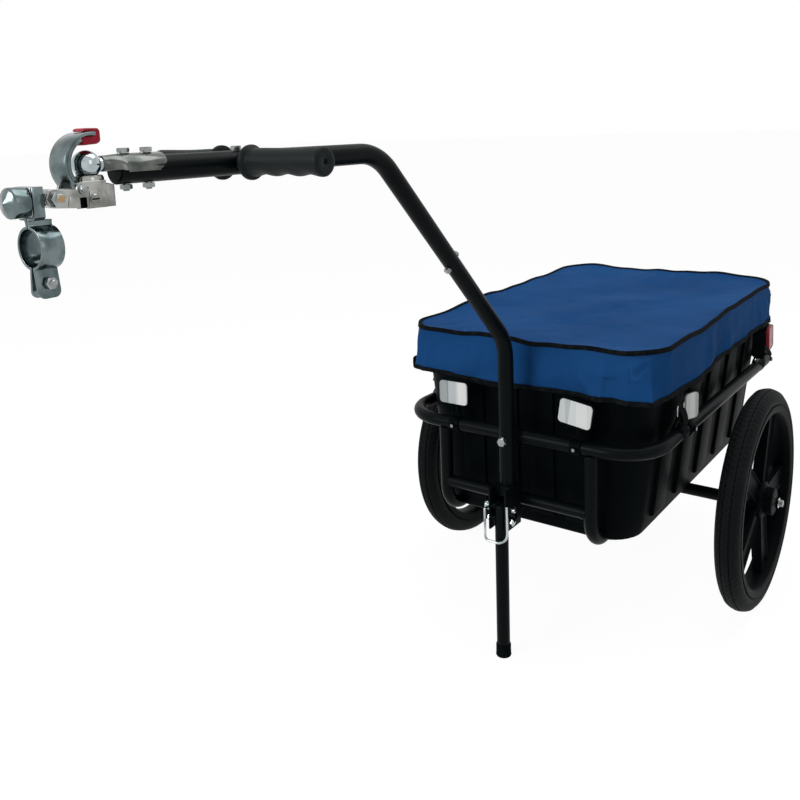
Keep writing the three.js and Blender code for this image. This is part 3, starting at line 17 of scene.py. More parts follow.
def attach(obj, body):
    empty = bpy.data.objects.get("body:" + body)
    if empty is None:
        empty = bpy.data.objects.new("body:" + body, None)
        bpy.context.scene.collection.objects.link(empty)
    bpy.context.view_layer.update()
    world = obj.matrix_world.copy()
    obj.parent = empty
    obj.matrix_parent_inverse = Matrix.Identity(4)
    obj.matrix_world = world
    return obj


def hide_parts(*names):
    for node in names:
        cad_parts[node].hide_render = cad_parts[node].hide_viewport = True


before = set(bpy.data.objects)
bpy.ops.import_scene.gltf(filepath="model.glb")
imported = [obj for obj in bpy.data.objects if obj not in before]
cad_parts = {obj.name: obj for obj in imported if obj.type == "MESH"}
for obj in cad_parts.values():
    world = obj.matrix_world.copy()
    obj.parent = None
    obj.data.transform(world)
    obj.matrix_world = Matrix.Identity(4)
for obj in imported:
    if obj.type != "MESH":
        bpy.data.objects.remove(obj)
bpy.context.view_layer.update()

# %% [markdown]
# ## Camera, floor and light
# The camera stands where the photograph was taken, found from some forty points of the picture.
# Its turn is written as the directions of its right side and its top, which read easier than angles.

# %% Camera
CAMERA_PLACE = Vector((0.680, -1.1615, 0.8781))
CAMERA_RIGHT = Vector((0.8092, 0.5865, -0.0343))
CAMERA_TOP = Vector((-0.0818, 0.1703, 0.982))

scene = bpy.context.scene
scene.view_settings.view_transform = "Standard"
camera = bpy.data.objects.new("camera", bpy.data.cameras.new("camera"))
scene.collection.objects.link(camera)
right = CAMERA_RIGHT.normalized()
up = (CAMERA_TOP - right * CAMERA_TOP.dot(right)).normalized()
turn = Matrix((right, up, right.cross(up))).transposed().to_4x4()
camera.matrix_world = Matrix.Translation(CAMERA_PLACE) @ turn
camera.data.lens = 39.3
camera.data.shift_x = -0.0119
camera.data.shift_y = -0.1326
camera.data.clip_end = 200
scene.camera = camera
print("camera looks along", [round(v, 3) for v in -right.cross(up)])


# %% [markdown]
# ## Writing finishes as sums
# A finish is a set of shader nodes. Two small classes make them read like ordinary arithmetic.
# `Finish.node` makes any node, and a `Reading` is one of its outputs, which can be added or scaled.

# %% Shader arithmetic
class Reading:
    """One output of a node, used like a number."""

    def __init__(self, finish, socket):
        self.finish = finish
        self.socket = socket

    def apply(self, operation, first, second=0.0):
        return self.finish.node("ShaderNodeMath", {"operation": operation}, {0: first, 1: second})

    def __add__(self, other):
        return self.apply("ADD", self, other)

    def __mul__(self, other):
        return self.apply("MULTIPLY", self, other)

    def __sub__(self, other):
        return self.apply("SUBTRACT", self, other)

    def __rsub__(self, other):
        return self.apply("SUBTRACT", other, self)

    def __pow__(self, other):
        return self.apply("POWER", self, other)

    __radd__, __rmul__ = __add__, __mul__

    def sine(self):
        return self.apply("SINE", self)

    def size(self):
        return self.apply("ABSOLUTE", self)

    def angle_to(self, other):
        return self.apply("ARCTAN2", self, other)

    def between(self, low, high):
        values = {"Value": self, "From Min": low, "From Max": high}
        return self.finish.node("ShaderNodeMapRange", {"interpolation_type": "SMOOTHSTEP"}, values)


class Finish:
    """A material whose values come from nodes."""

    def __init__(self, name, gloss=0.5, **constants):
        self.material = bpy.data.materials.new(name)
        self.material.use_nodes = True
        self.tree = self.material.node_tree
        self.shader = self.tree.nodes["Principled BSDF"]
        self.set(Specular_IOR_Level=gloss, **constants)

    def node(self, kind, settings, values, output=0):
        made = self.tree.nodes.new(kind)
        for key, value in settings.items():
            setattr(made, key, value)
        for key, value in values.items():
            self.feed(made.inputs[key], value)
        return Reading(self, made.outputs[output])

    def feed(self, socket, value):
        if isinstance(value, Reading):
            self.tree.links.new(value.socket, socket)
        elif socket.type == "RGBA" and len(value) == 3:
            socket.default_value = (*value, 1.0)
        else:
            socket.default_value = value

    def set(self, **values):
        for key, value in values.items():
            self.feed(self.shader.inputs[key.replace("_", " ")], value)

    def place(self, stretch=(1, 1, 1), kind="Object"):
        source = self.node("ShaderNodeTexCoord", {}, {}, kind)
        return self.node("ShaderNodeMapping", {}, {"Vector": source, "Scale": stretch})

    def axes(self, kind="Object"):
        split = self.tree.nodes.new("ShaderNodeSeparateXYZ")
        self.feed(split.inputs[0], self.place(kind=kind))
        return [Reading(self, output) for output in split.outputs]

    def noise(self, scale, detail, stretch=(1, 1, 1), output="Fac"):
        values = {"Vector": self.place(stretch), "Scale": scale, "Detail": detail}
        return self.node("ShaderNodeTexNoise", {}, values, output)

    def colours(self, mask, first, second):
        values = {"Factor": mask, 6: first, 7: second}
        return self.node("ShaderNodeMix", {"data_type": "RGBA"}, values, 2)

    def raise_by(self, height, metres, below=None):
        values = {"Height": height, "Distance": metres}
        if below:
            values["Normal"] = below
        return self.node("ShaderNodeBump", {}, values)

    def dress(self, mask, first, second, roughness, height, metres, below=None):
        """Two colours mixed by a mask, a roughness, and a relief of so many metres."""
        normal = self.raise_by(height, metres, below)
        self.set(Base_Color=self.colours(mask, first, second), Roughness=roughness, Normal=normal)
        return self.material


# %% [markdown]
# ## Finishes
# Nothing on the trailer is one flat colour. Powder coat has orange peel, the moulded plastic a fine
# grain and dust, zinc plate a cloudy blue cast that is partly painted reflection, with rolled streaks, and the
# coated cloth a weave.
# Each finish changes its colour, roughness and height a little, at the scale of the real thing.

# %% Black finishes
def powder_coat():
    coat = Finish("powder_coat", 0.05)
    clouds = coat.noise(9, 3)
    scuffs = coat.noise(60, 6, (1, 1, 0.12)).between(0.62, 0.8)
    return coat.dress(
        scuffs * 0.35, (0.0018, 0.0034, 0.0040), (0.018, 0.021, 0.022),
        0.3 + clouds * 0.12 + scuffs * 0.15, coat.noise(700, 2), 0.00006,
    )


def moulded_plastic():
    plastic = Finish("moulded_plastic", 0.022)
    grain = plastic.noise(1500, 2)
    dust = plastic.noise(14, 5).between(0.5, 0.8)
    return plastic.dress(
        dust * 0.5, (0.0008, 0.0020, 0.0026), (0.0050, 0.0068, 0.0072),
        0.42 + grain * 0.12 + dust * 0.14, grain, 0.00008,
    )


def soft_rubber():
    soft = Finish("soft_rubber", 0.015)
    grain = soft.noise(900, 3)
    dust = soft.noise(22, 5).between(0.45, 0.8)
    return soft.dress(
        dust * 0.5, (0.0026, 0.0042, 0.0046), (0.011, 0.0135, 0.0142), 0.62 + grain * 0.15, grain, 0.0001,
    )


powder_black = powder_coat()
plastic_black = moulded_plastic()
rubber_black = soft_rubber()
print("black finishes:", powder_black.name, plastic_black.name, rubber_black.name)


# %% Metal finishes
def plated(name, colour, shade, roughness, streaks=1.0):
    metal = Finish(name, Metallic=1.0)
    # The clouds mix colour and shade: partly the plating's blotchy cast, partly painted reflection that gives
    # the metal light and dark zones
    clouds = metal.noise(55, 4).between(0.34, 0.68)
    rolled = metal.noise(260, 3, (0.12, 1, 1))
    fine = metal.noise(1400, 2)
    return metal.dress(
        clouds, colour, shade, roughness + rolled * 0.1 * streaks + clouds * 0.07,
        rolled * 0.6 + fine * 0.4, 0.00002 * streaks,
    )


zinc = plated("zinc_plate", (0.34, 0.36, 0.355), (0.19, 0.21, 0.205), 0.1)
zinc_blue = plated("blue_zinc", (0.165, 0.205, 0.210), (0.075, 0.102, 0.107), 0.11)
zinc_grey = plated("grey_zinc", (0.37, 0.375, 0.355), (0.18, 0.184, 0.172), 0.1)
zinc_dark = plated("smoky_zinc", (0.13, 0.137, 0.13), (0.06, 0.066, 0.062), 0.12)
chrome = plated("chrome_plate", (0.52, 0.56, 0.56), (0.26, 0.32, 0.34), 0.05, 0.3)
bronze = plated("sintered_bronze", (0.4, 0.27, 0.13), (0.26, 0.17, 0.08), 0.32)
print("metal finishes:", zinc.name, chrome.name, bronze.name)


# %% Cloth, webbing and coloured plastic
def coated_cloth():
    """The weave follows the cloth's own map. Faint creases run along the edges of bent cells."""
    cloth = Finish("coated_cloth", 0.006)
    along, across, _ = cloth.axes("UV")
    threads = (along * 5200).sine() * (across * 5200).sine()
    creases = cloth.noise(16, 6, (1, 1, 0.5))
    fading = cloth.noise(4.5, 5).between(0.3, 0.7)
    bent = {0: cloth.place(), 1: cloth.noise(5, 2, output="Color")}
    cells = {"Vector": cloth.node("ShaderNodeVectorMath", {"operation": "ADD"}, bent), "Scale": 3.4}
    crumple = cloth.node("ShaderNodeTexVoronoi", {"feature": "DISTANCE_TO_EDGE"}, cells, "Distance")
    lines = (1 - crumple.between(0.0, 0.014)) * cloth.noise(6, 2).between(0.48, 0.6)
    return cloth.dress(
        fading * 0.32 + lines * 0.3, (0.0078, 0.053, 0.172), (0.026, 0.115, 0.325), 0.44 + creases * 0.16,
        threads, 0.00005, cloth.raise_by(creases * 0.55 + crumple.between(0.0, 0.3) * 0.42, 0.0034),
    )


def woven(name):
    band = Finish(name, 0.03)
    x, y, z = band.axes()
    wear = band.noise(120, 4)
    return band.dress(
        wear.between(0.4, 0.8), (0.0035, 0.005, 0.006), (0.014, 0.016, 0.017),
        0.72 + wear * 0.15, ((x + y) * 3100).sine() * (z * 2300).sine(), 0.00022,
    )


def glossy_red():
    shell = Finish("red_grip", 0.25)
    grain = shell.noise(900, 2)
    return shell.dress(
        shell.noise(35, 3), (0.42, 0.006, 0.026), (0.27, 0.003, 0.015), 0.34 + grain * 0.1, grain, 0.00003,
    )


def prism_lens(name, colour, deep):
    """A reflector's field: rows of tiny corner cubes, with a brightness and brighter and darker bands that are
    painted reflection.
    """
    lens = Finish(name, 0.3, Coat_Weight=0.2, Coat_Roughness=0.05)
    x, y, z = lens.axes()
    across = x + y
    # The bands and the cubes' speckle in the colour are painted glints of the prisms
    cubes = (across * 1900).sine().size() + (z * 1900 + across * 1100).sine().size()
    bands = (across * 170).sine().between(-0.15, 0.15)
    return lens.dress(bands * 0.7 + cubes * 0.12, deep, colour, 0.12 + cubes * 0.08, cubes, 0.0004)


cloth_blue = coated_cloth()
cloth_black = woven("binding_tape")
webbing = woven("webbing")
red_plastic = glossy_red()
print("cloth and plastic:", cloth_blue.name, webbing.name, red_plastic.name)

# %% [markdown]
# ## The stage
# The light is one large soft lamp from above, a weak one from the right, one from the front and a grey
# world. The floor is pale. Camera and mirror rays see it and the world as nearly white, so that the
# metal has something pale to show, and the floor still keeps the trailer's shadow.

# %% Stage
def camera_or_mirror(tree):
    """1 for rays from the camera and from shiny or clear things, and 0 for all other light."""
    rays = tree.nodes.new("ShaderNodeLightPath").outputs
    seen = rays["Is Camera Ray"]
    for ray in ("Is Glossy Ray", "Is Transmission Ray"):
        either = tree.nodes.new("ShaderNodeMath")
        either.operation = "MAXIMUM"
        tree.links.new(seen, either.inputs[0])
        tree.links.new(rays[ray], either.inputs[1])
        seen = either.outputs[0]
    return seen


def pale_floor():
    pale = Finish("pale_floor", 0.1)
    seen = Reading(pale, camera_or_mirror(pale.tree))
    speckle = pale.noise(30, 2)
    pale.set(
        Base_Color=pale.colours(speckle * 0.06, (0.84, 0.84, 0.84), (0.78, 0.78, 0.78)),
        Roughness=0.8 + speckle * 0.1,
    )
    glow = pale.node("ShaderNodeEmission", {}, {"Color": (1, 1, 1), "Strength": 1.06})
    shader = Reading(pale, pale.shader.outputs[0])
    mixed = pale.node("ShaderNodeMixShader", {}, {0: seen * 0.9, 1: shader, 2: glow})
    pale.feed(pale.tree.nodes["Material Output"].inputs[0], mixed)
    return pale.material


floor_mesh = bmesh.new()
bmesh.ops.create_grid(floor_mesh, x_segments=1, y_segments=1, size=60)
floor_data = bpy.data.meshes.new("floor")
floor_mesh.to_mesh(floor_data)
floor_mesh.free()
floor = bpy.data.objects.new("floor", floor_data)
floor.data.materials.append(pale_floor())
scene.collection.objects.link(floor)

world = bpy.data.worlds.new("studio")
scene.world = world
world.use_nodes = True
tree = world.node_tree
strength = tree.nodes.new("ShaderNodeMapRange")
strength.inputs["To Min"].default_value = 0.26
strength.inputs["To Max"].default_value = 1.0
tree.links.new(camera_or_mirror(tree), strength.inputs["Value"])
tree.links.new(strength.outputs["Result"], tree.nodes["Background"].inputs["Strength"])
tree.nodes["Background"].inputs["Color"].default_value = (1, 1, 1, 1)


def soft_lamp(name, place, target, size, watts):
    lamp = bpy.data.objects.new(name, bpy.data.lights.new(name, "AREA"))
    lamp.data.shape = "RECTANGLE"
    lamp.data.size, lamp.data.size_y = size
    lamp.data.energy = watts
    lamp.location = place
    lamp.rotation_mode = "QUATERNION"
    lamp.rotation_quaternion = (Vector(target) - Vector(place)).to_track_quat("-Z", "Y")
    scene.collection.objects.link(lamp)


soft_lamp("lamp_top", (0.4, 0.6, 3.2), (0, 0, 0.4), (2.2, 2.6), 50)
soft_lamp("lamp_right", (3.0, -0.5, 1.9), (0, 0, 0.45), (1.2, 1.6), 6)
soft_lamp("lamp_front", (-1.2, -3.2, 1.8), (0, 0, 0.5), (1.6, 1.2), 62)
print("stage ready")

# %% [markdown]
# ## Helpers for bent tube, turned parts and plates
# A bent tube is a ring of points that is pushed straight on and spun round each bend, as a tube
# bender does. A turned part is a profile spun once round an axis. A plate is a flat outline pulled
# to a thickness with its edges rounded. Every piece then gets its finish and rides on its body.

# %% Piece helper
MM = 0.001
X, Y, Z = Vector((1, 0, 0)), Vector((0, 1, 0)), Vector((0, 0, 1))
SIDES = ((-1, "left"), (1, "right"))
SLOTS = {
    powder_black: "black_paint", plastic_black: "black_plastic", rubber_black: "black_rubber",
    zinc: "zinc", zinc_blue: "zinc", zinc_grey: "zinc", zinc_dark: "zinc", chrome: "chrome", bronze: "bronze",
    cloth_blue: "blue_fabric", cloth_black: "webbing", webbing: "webbing", red_plastic: "red_plastic",
}
made_pieces = []


def settle(bm, name, finish, *nodes, body="frame", slot=None, edge=35, merge=0.00002):
    """Turns a bmesh into a piece of the trailer that takes the place of some solids."""
    slot = slot or SLOTS[finish]
    if merge:
        bmesh.ops.remove_doubles(bm, verts=bm.verts, dist=merge)
    bmesh.ops.recalc_face_normals(bm, faces=bm.faces)
    mesh = bpy.data.meshes.new(name)
    bm.to_mesh(mesh)
    bm.free()
    mesh.shade_smooth()
    mesh.set_sharp_from_angle(angle=math.radians(edge))
    for material in finish if isinstance(finish, list) else [finish]:
        mesh.materials.append(material)
    piece = bpy.data.objects.new(name, mesh)
    scene.collection.objects.link(piece)
    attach(piece, body)
    if nodes:
        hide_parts(*nodes)
    made_pieces.append(name)
    return piece


def metres(points):
    """A profile or outline in millimetres, turned into metres."""
    return [(x * MM, y * MM) for x, y in points]


def verts_in(items):
    return [item for item in items if isinstance(item, bmesh.types.BMVert)]


def facing(direction):
    """The turn that lays Z along a direction."""
    return Vector(direction).to_track_quat("Z", "Y").to_matrix().to_4x4()


def round_off(bm, geom, size, segments, affect="EDGES"):
    """Rounds edges, or corners with affect VERTICES, by so many metres."""
    return bmesh.ops.bevel(
        bm, geom=geom, offset=size, segments=segments, profile=0.5, affect=affect, material=-1,
    )


# %% Bent tube
def push(bm, edges, reach):
    """Pulls a row of edges along and returns the new row."""
    made = bmesh.ops.extrude_edge_only(bm, edges=edges)["geom"]
    points = verts_in(made)
    bmesh.ops.translate(bm, verts=points, vec=reach)
    return [item for item in made if isinstance(item, bmesh.types.BMEdge)
            and all(end in points for end in item.verts)]


def bent_tube(bm, corners, radius, bends=50, wall=1.5, sides=28, steps=14):
    """A round tube along straight runs with round bends: one radius for all, or a list."""
    corners = [Vector(corner) for corner in corners]
    if not isinstance(bends, list):
        bends = [bends] * len(corners)
    heading = (corners[1] - corners[0]).normalized()
    start = Matrix.Translation(corners[0]) @ facing(heading)
    known = set(bm.faces)
    ring = bmesh.ops.create_circle(bm, segments=sides, radius=radius * MM, matrix=start)["verts"]
    edges = list({edge for vert in ring for edge in vert.link_edges})
    here = corners[0]
    for corner, after, bend in zip(corners[1:], corners[2:], bends):
        after = (after - corner).normalized()
        angle = heading.angle(after)
        reach = bend * MM * math.tan(angle / 2)
        begin = corner - heading * reach
        edges = push(bm, edges, begin - here)
        inward = (after - heading * after.dot(heading)).normalized()
        spun = bmesh.ops.spin(
            bm, geom=edges, cent=begin + inward * bend * MM, axis=heading.cross(after),
            angle=angle, steps=steps,
        )["geom_last"]
        edges = [item for item in spun if isinstance(item, bmesh.types.BMEdge)]
        here = corner + after * reach
        heading = after
    push(bm, edges, corners[-1] - here)
    new_faces = [face for face in bm.faces if face not in known]
    bmesh.ops.recalc_face_normals(bm, faces=new_faces)
    if wall:
        bmesh.ops.solidify(bm, geom=new_faces, thickness=wall * MM)


# %% Turned part
def turned(bm, profile, centre, axis, steps=48):
    """A profile of (radius, along) points spun once round an axis."""
    place = Matrix.Translation(Vector(centre)) @ facing(axis)
    points = [bm.verts.new(place @ Vector((radius, 0, along))) for radius, along in metres(profile)]
    edges = [bm.edges.new(pair) for pair in zip(points, points[1:])]
    bmesh.ops.spin(
        bm, geom=points + edges, cent=Vector(centre), axis=Vector(axis), angle=math.tau,
        steps=steps, use_merge=True,
    )
    bmesh.ops.remove_doubles(bm, verts=bm.verts, dist=0.000005)


# %% Plate
def plate(bm, outline, thickness, place, edge=0.4, segments=2):
    """A flat outline in X and Y, pulled along Z and moved by a matrix, with rounded edges."""
    points = [bm.verts.new((x, y, 0)) for x, y in metres(outline)]
    face = bm.faces.new(points)
    top = verts_in(bmesh.ops.extrude_face_region(bm, geom=[face])["geom"])
    bmesh.ops.translate(bm, verts=top, vec=(0, 0, thickness * MM))
    whole = list(set(points) | set(top))
    edges = list({item for vert in whole for item in vert.link_edges})
    if edge:
        sharp = [item for item in edges if item.calc_face_angle(0) > math.radians(40)]
        bevelled = round_off(bm, sharp, edge * MM, segments)
        whole = list({vert for vert in whole if vert.is_valid} | set(bevelled["verts"]))
    bmesh.ops.transform(bm, matrix=place, verts=whole)


def arc(centre, radius, start, end, steps):
    """Points along an arc, from one angle to another in degrees."""
    angles = [math.radians(start + (end - start) * step / steps) for step in range(steps + 1)]
    return [(centre[0] + radius * math.cos(angle), centre[1] + radius * math.sin(angle)) for angle in angles]


def rounded(width, height, radius, steps=6, centre=(0, 0)):
    """The outline of a rectangle with round corners."""
    outline = []
    for quarter, (u, v) in enumerate(((1, 1), (-1, 1), (-1, -1), (1, -1))):
        corner = centre[0] + u * (width / 2 - radius), centre[1] + v * (height / 2 - radius)
        outline += arc(corner, radius, quarter * 90, quarter * 90 + 90, steps)
    return outline


def mirrored(profile):
    """A profile followed by its mirror image, which brings it back to its first radius."""
    return profile + [(radius, -along) for radius, along in reversed(profile)]


def frame_of(origin, x_axis, y_axis):
    """A matrix from a plate's own X and Y directions."""
    turned_axes = Matrix((x_axis, y_axis, x_axis.cross(y_axis))).transposed().to_4x4()
    return Matrix.Translation(Vector(origin)) @ turned_axes


def front_on(origin):
    """A plate's place seen from the front: it is pulled towards -Y."""
    return frame_of(origin, X, Z)


def side_on(origin):
    """A plate's place seen from the right: it is pulled towards +X."""
    return frame_of(origin, Y, Z)


print("helpers ready")

# %% [markdown]
# ## The frame of bent tube
# Ring, rails and crossbars are 22 mm and 20 mm steel tube, powder coated black. Each is one bent
# tube on the solid's own centre line, only smoother. The ring is two halves that meet at the sides,
# and its front half carries a small saddle for the drawbar.

# %% Tube frame
TUBE = 11
RING_X, RING_Z, RING_BEND = 0.227, 0.376, 75
FRONT_Y, MIDDLE_Y, REAR_Y = 0.043, 0.4085, 0.774
RAIL_X, RAIL_Z, RAIL_BEND = 0.136, 0.2133, 45
RAIL_TOP = RING_Z - 0.0112
BAR_X, BAR_Z, BAR_RADIUS = RAIL_X - 0.006, 0.268, 10
HALF_GAP = 0.00015

for name, y, meet_y in (("front", FRONT_Y, MIDDLE_Y - HALF_GAP), ("rear", REAR_Y, MIDDLE_Y + HALF_GAP)):
    ring = bmesh.new()
    ring_line = [(-RING_X, meet_y), (-RING_X, y), (RING_X, y), (RING_X, meet_y)]
    bent_tube(ring, [(*place, RING_Z) for place in ring_line], TUBE, RING_BEND)
    if name == "front":
        saddle = [(-14.5, 24)] + arc((0, 0), 12.8, 162, 18, 12) + [(14.5, 24)]
        plate(ring, saddle, 28, Matrix.Translation((0, 0.017, RING_Z - 0.014)), 0.8)
    settle(ring, f"ring_{name}_tube", powder_black, f"ring_{name}")

for side, name in SIDES:
    rail = bmesh.new()
    rail_line = [(FRONT_Y, RAIL_TOP), (FRONT_Y, RAIL_Z), (REAR_Y, RAIL_Z), (REAR_Y, RAIL_TOP)]
    bent_tube(rail, [(side * RAIL_X, *place) for place in rail_line], TUBE, RAIL_BEND)
    for y in (FRONT_Y, REAR_Y):
        weld = [(10, -4.5), (10.8, -3.5), (10.95, -1), (10.95, 0.5), (10, 3)]
        turned(rail, weld, (side * RAIL_X, y, RING_Z - 0.0125), Z, 24)
    settle(rail, f"rail_tube_{name}", powder_black, f"rail_{name}")

for name, y in (("front", FRONT_Y), ("rear", REAR_Y)):
    bar = bmesh.new()
    bent_tube(bar, [(-BAR_X, y, BAR_Z), (BAR_X, y, BAR_Z)], BAR_RADIUS)
    for side, _ in SIDES:
        weld = [(9.8, 0), (10.9, 0.8), (10.7, 4.2), (9.8, 5.2)]
        turned(bar, weld, (side * (RAIL_X - 0.01), y, BAR_Z), -side * X, 24)
    settle(bar, f"crossbar_tube_{name}", powder_black, f"{name}_crossbar")
print("frame tubes:", made_pieces)

# %% [markdown]
# ## The axle beam
# A straight tube under the tub carries a welded end plate with a boss on each side. The wheel's bolt
# goes through the boss, and a weld bead runs round the tube where it meets the plate.

# %% Axle beam
AXLE_Y, AXLE_Z = 0.395, 0.2
BEAM_X, BEAM_Z, END_PLATE = 0.25, 0.191, 4

beam = bmesh.new()
bent_tube(beam, [(-BEAM_X, AXLE_Y, BEAM_Z), (BEAM_X, AXLE_Y, BEAM_Z)], TUBE)
for side, _ in SIDES:
    plate_x = BEAM_X if side > 0 else -BEAM_X - END_PLATE * MM
    plate(beam, rounded(40, 52, 8, 5), END_PLATE, side_on((plate_x, AXLE_Y, 0.1985)), 0.8)
    turned(beam, [
        (6.2, 0), (13, 0), (13, 11.2), (12.2, 12), (6.6, 12), (6.2, 11.6), (6.2, 0),
    ], (side * BEAM_X, AXLE_Y, AXLE_Z), side * X, 40)
    weld = [(10.8, 0), (14.5, 0.6), (13.6, 3), (12.2, 4.5), (10.8, 5.2)]
    turned(beam, weld, (side * BEAM_X, AXLE_Y, BEAM_Z), -side * X, 30)
settle(beam, "axle_beam_tube", powder_black, "axle_beam")
print("axle beam made")

# %% [markdown]
# ## The drawbar
# A 25 mm tube rises from the frame, leans forward and runs level to the hitch. The lower part is one
# bent tube. The upper part starts with a narrowed end that slips into it, and a bolt holds the two.

# %% Drawbar
DRAW_Y, DRAW_Z = 0.017, 0.85
DRAW_TUBE = (12.5, 80, 2, 36, 18)
knee = Vector((0, DRAW_Y, 0.541))
elbow = Vector((0, -0.295, DRAW_Z))
draw_tip = Vector((0, -0.676, DRAW_Z))
slant = (elbow - knee).normalized()
seam = knee + slant * 0.236

lower = bmesh.new()
bent_tube(lower, [(0, DRAW_Y, 0.284), knee, seam], *DRAW_TUBE)
settle(lower, "drawbar_lower_tube", powder_black, "drawbar_lower")

upper = bmesh.new()
bent_tube(upper, [seam + slant * 0.0003, elbow, draw_tip], *DRAW_TUBE)
turned(upper, [(9.9, -60), (9.9, 1), (7.9, 1), (7.9, -60), (9.9, -60)], seam, slant, 36)
turned(upper, [(10.1, -12.4), (10.6, -11), (10.6, 0.3), (9.8, 0.9), (0, 1.1)], draw_tip, -Y, 36)
settle(upper, "drawbar_upper_tube", powder_black, "drawbar_upper")
print("drawbar leans", round(math.degrees(slant.angle(Z))), "degrees")

# %% [markdown]
# ## Wheels
# Each wheel is moulded plastic: a deep rim, a hub and five broad spokes. A spoke has a raised edge on
# both sides of a sunk middle, so it is a tapered block whose faces are inset and pushed in.

# %% Wheels
TRACK = 0.3
SPOKES, FIRST_SPOKE = 5, 70
SPOKE_INNER, SPOKE_OUTER = (0.022, 0.036, 0.026), (0.019, 0.042, 0.157)


def spoke(bm, centre, angle):
    """One tapered spoke, built along +Z and then turned to its angle."""
    made = bmesh.ops.create_cube(bm, size=1)["verts"]
    for vert in made:
        thick, wide, reach = SPOKE_INNER if vert.co.z < 0 else SPOKE_OUTER
        vert.co = (vert.co.x * thick, vert.co.y * wide, reach)
    faces = list({face for vert in made for face in vert.link_faces})
    broad = [face for face in faces if abs(face.normal.x) > 0.7]
    bmesh.ops.inset_individual(bm, faces=broad, thickness=0.006, depth=0)
    for face in broad:
        bmesh.ops.translate(bm, verts=face.verts, vec=-0.005 * face.normal)
    bmesh.ops.inset_individual(bm, faces=broad, thickness=0.0008, depth=0)
    island = set(made)
    while True:
        grown = {other for vert in island for edge in vert.link_edges for other in edge.verts}
        if grown == island:
            break
        island = grown
    edges = list({edge for vert in island for edge in vert.link_edges if edge.calc_face_angle(0) > 0.6})
    bevelled = round_off(bm, edges, 0.0016, 3)
    island = {vert for vert in island if vert.is_valid} | set(bevelled["verts"])
    turn = Matrix.Translation(centre) @ Matrix.Rotation(math.radians(angle - 90), 4, "X")
    bmesh.ops.transform(bm, matrix=turn, verts=list(island))


for side, name in SIDES:
    centre = Vector((side * TRACK, AXLE_Y, AXLE_Z))
    wheel = bmesh.new()
    rim = mirrored([(171.8, 20.5), (172.2, 19.8), (172.2, 18.2), (171.2, 17.4), (160, 17.2)])
    rim += [(164, -20.5), (159, -18.5), (155, -11), (154.5, 0), (155, 11), (159, 18.5), (164, 20.5), rim[0]]
    turned(wheel, rim, centre, X, 96)
    hub = mirrored([(10.4, -30), (22, -30), (24, -28.5), (25, -16), (32, -12.5), (33, -11)])
    turned(wheel, hub + hub[:1], centre, X, 64)
    for number in range(SPOKES):
        spoke(wheel, centre, FIRST_SPOKE + number * 360 / SPOKES)
    settle(wheel, f"wheel_rim_{name}", plastic_black, f"wheel_{name}", body=f"wheel_{name}")
print("wheels:", made_pieces[-2:])

# %% [markdown]
# ## Tyres
# The tyre is a turned profile with a bead, a rounded wall and two shallow grooves in the tread. Its
# blocks and the fine ribs on the wall are small and repeat hundreds of times, so they are height in
# the finish: the angle round the axle and the distance across the tread give the pattern.

# %% Tyre finish and tyre
def tyre_rubber(side, name):
    soft = Finish(f"tyre_rubber_{name}", 0.07)
    x, y, z = soft.axes()
    across = x - side * TRACK
    round_axle = (z - AXLE_Z).angle_to(y - AXLE_Y)
    from_axle = ((z - AXLE_Z) ** 2 + (y - AXLE_Y) ** 2) ** 0.5
    chevrons = (round_axle * 110 + across.size() * 420).sine().between(-0.35, 0.2)
    rows = (across * 520).sine().size().between(0.12, 0.4)
    tread = from_axle.between(0.1885, 0.1925)
    ribs = (round_axle * 260).sine().between(-0.4, 0.4) * from_axle.between(0.178, 0.181)
    rings = (from_axle * 2100).sine() * 0.25
    grain = soft.noise(800, 3)
    dust = soft.noise(18, 5).between(0.45, 0.8)
    wall = (ribs * 0.35 + rings) * (1 - tread)
    return soft.dress(
        dust * 0.5, (0.0035, 0.0050, 0.0054), (0.013, 0.0150, 0.0155), 0.6 + grain * 0.12,
        chevrons * rows * tread + wall * 0.4 + grain * 0.05, 0.0016,
    )


OUTER_WALL = [
    (160.5, 16.8), (166.8, 16.8), (171.6, 17.2), (173.8, 18.8), (176.5, 20.3), (179.5, 20.9), (183, 20.8),
    (186.8, 19.8), (190, 18.1), (192.2, 16.3), (193.8, 14.7), (194.3, 13.8), (195.8, 13.6), (196.8, 11.8),
    (197.8, 9.4), (198.4, 7.8), (197, 7.4), (197.1, 6.2), (198.8, 5.8), (199.6, 3),
]
INNER_WALL = [(160.5, -13.5), (172, -13.5), (178, -17), (184, -16.5), (190, -12.5), (194.5, -7)]
CROWN, CROWN_INSIDE = (200, 0), (196, 0)

for side, name in SIDES:
    tyre = bmesh.new()
    profile = mirrored(OUTER_WALL)
    profile.insert(len(OUTER_WALL), CROWN)
    inside = mirrored(INNER_WALL)
    inside.insert(len(INNER_WALL), CROWN_INSIDE)
    turned(tyre, profile + inside + profile[:1], (side * TRACK, AXLE_Y, AXLE_Z), X, 120)
    settle(
        tyre, f"tyre_body_{name}", tyre_rubber(side, name), f"tyre_{name}",
        body=f"wheel_{name}", slot="tyre_rubber", edge=60,
    )
print("tyres:", made_pieces[-2:])

# %% [markdown]
# ## The tub
# A moulded tub with a rounded floor, walls that lean out and a folded rim. Broad upright ribs stiffen
# the walls. A flat floor with round corners is pulled up ring by ring, cut at the ribs' edges, and
# the ribs' faces are pushed out and their edges rounded. It all stands a little higher at the rear.

# %% Tub
TUB_FLOOR, TUB_HEIGHT, TUB_TILT = 0.206, 0.328, 0.010
FLOOR_X, FLOOR_Y = 0.185, 0.3245
TOP_X, TOP_Y = 0.222, 0.3345
TUB_CORNER = 0.053
RIB_LOW, RIB_HIGH, RIB_OUT = 0.024, 0.270, 0.0052


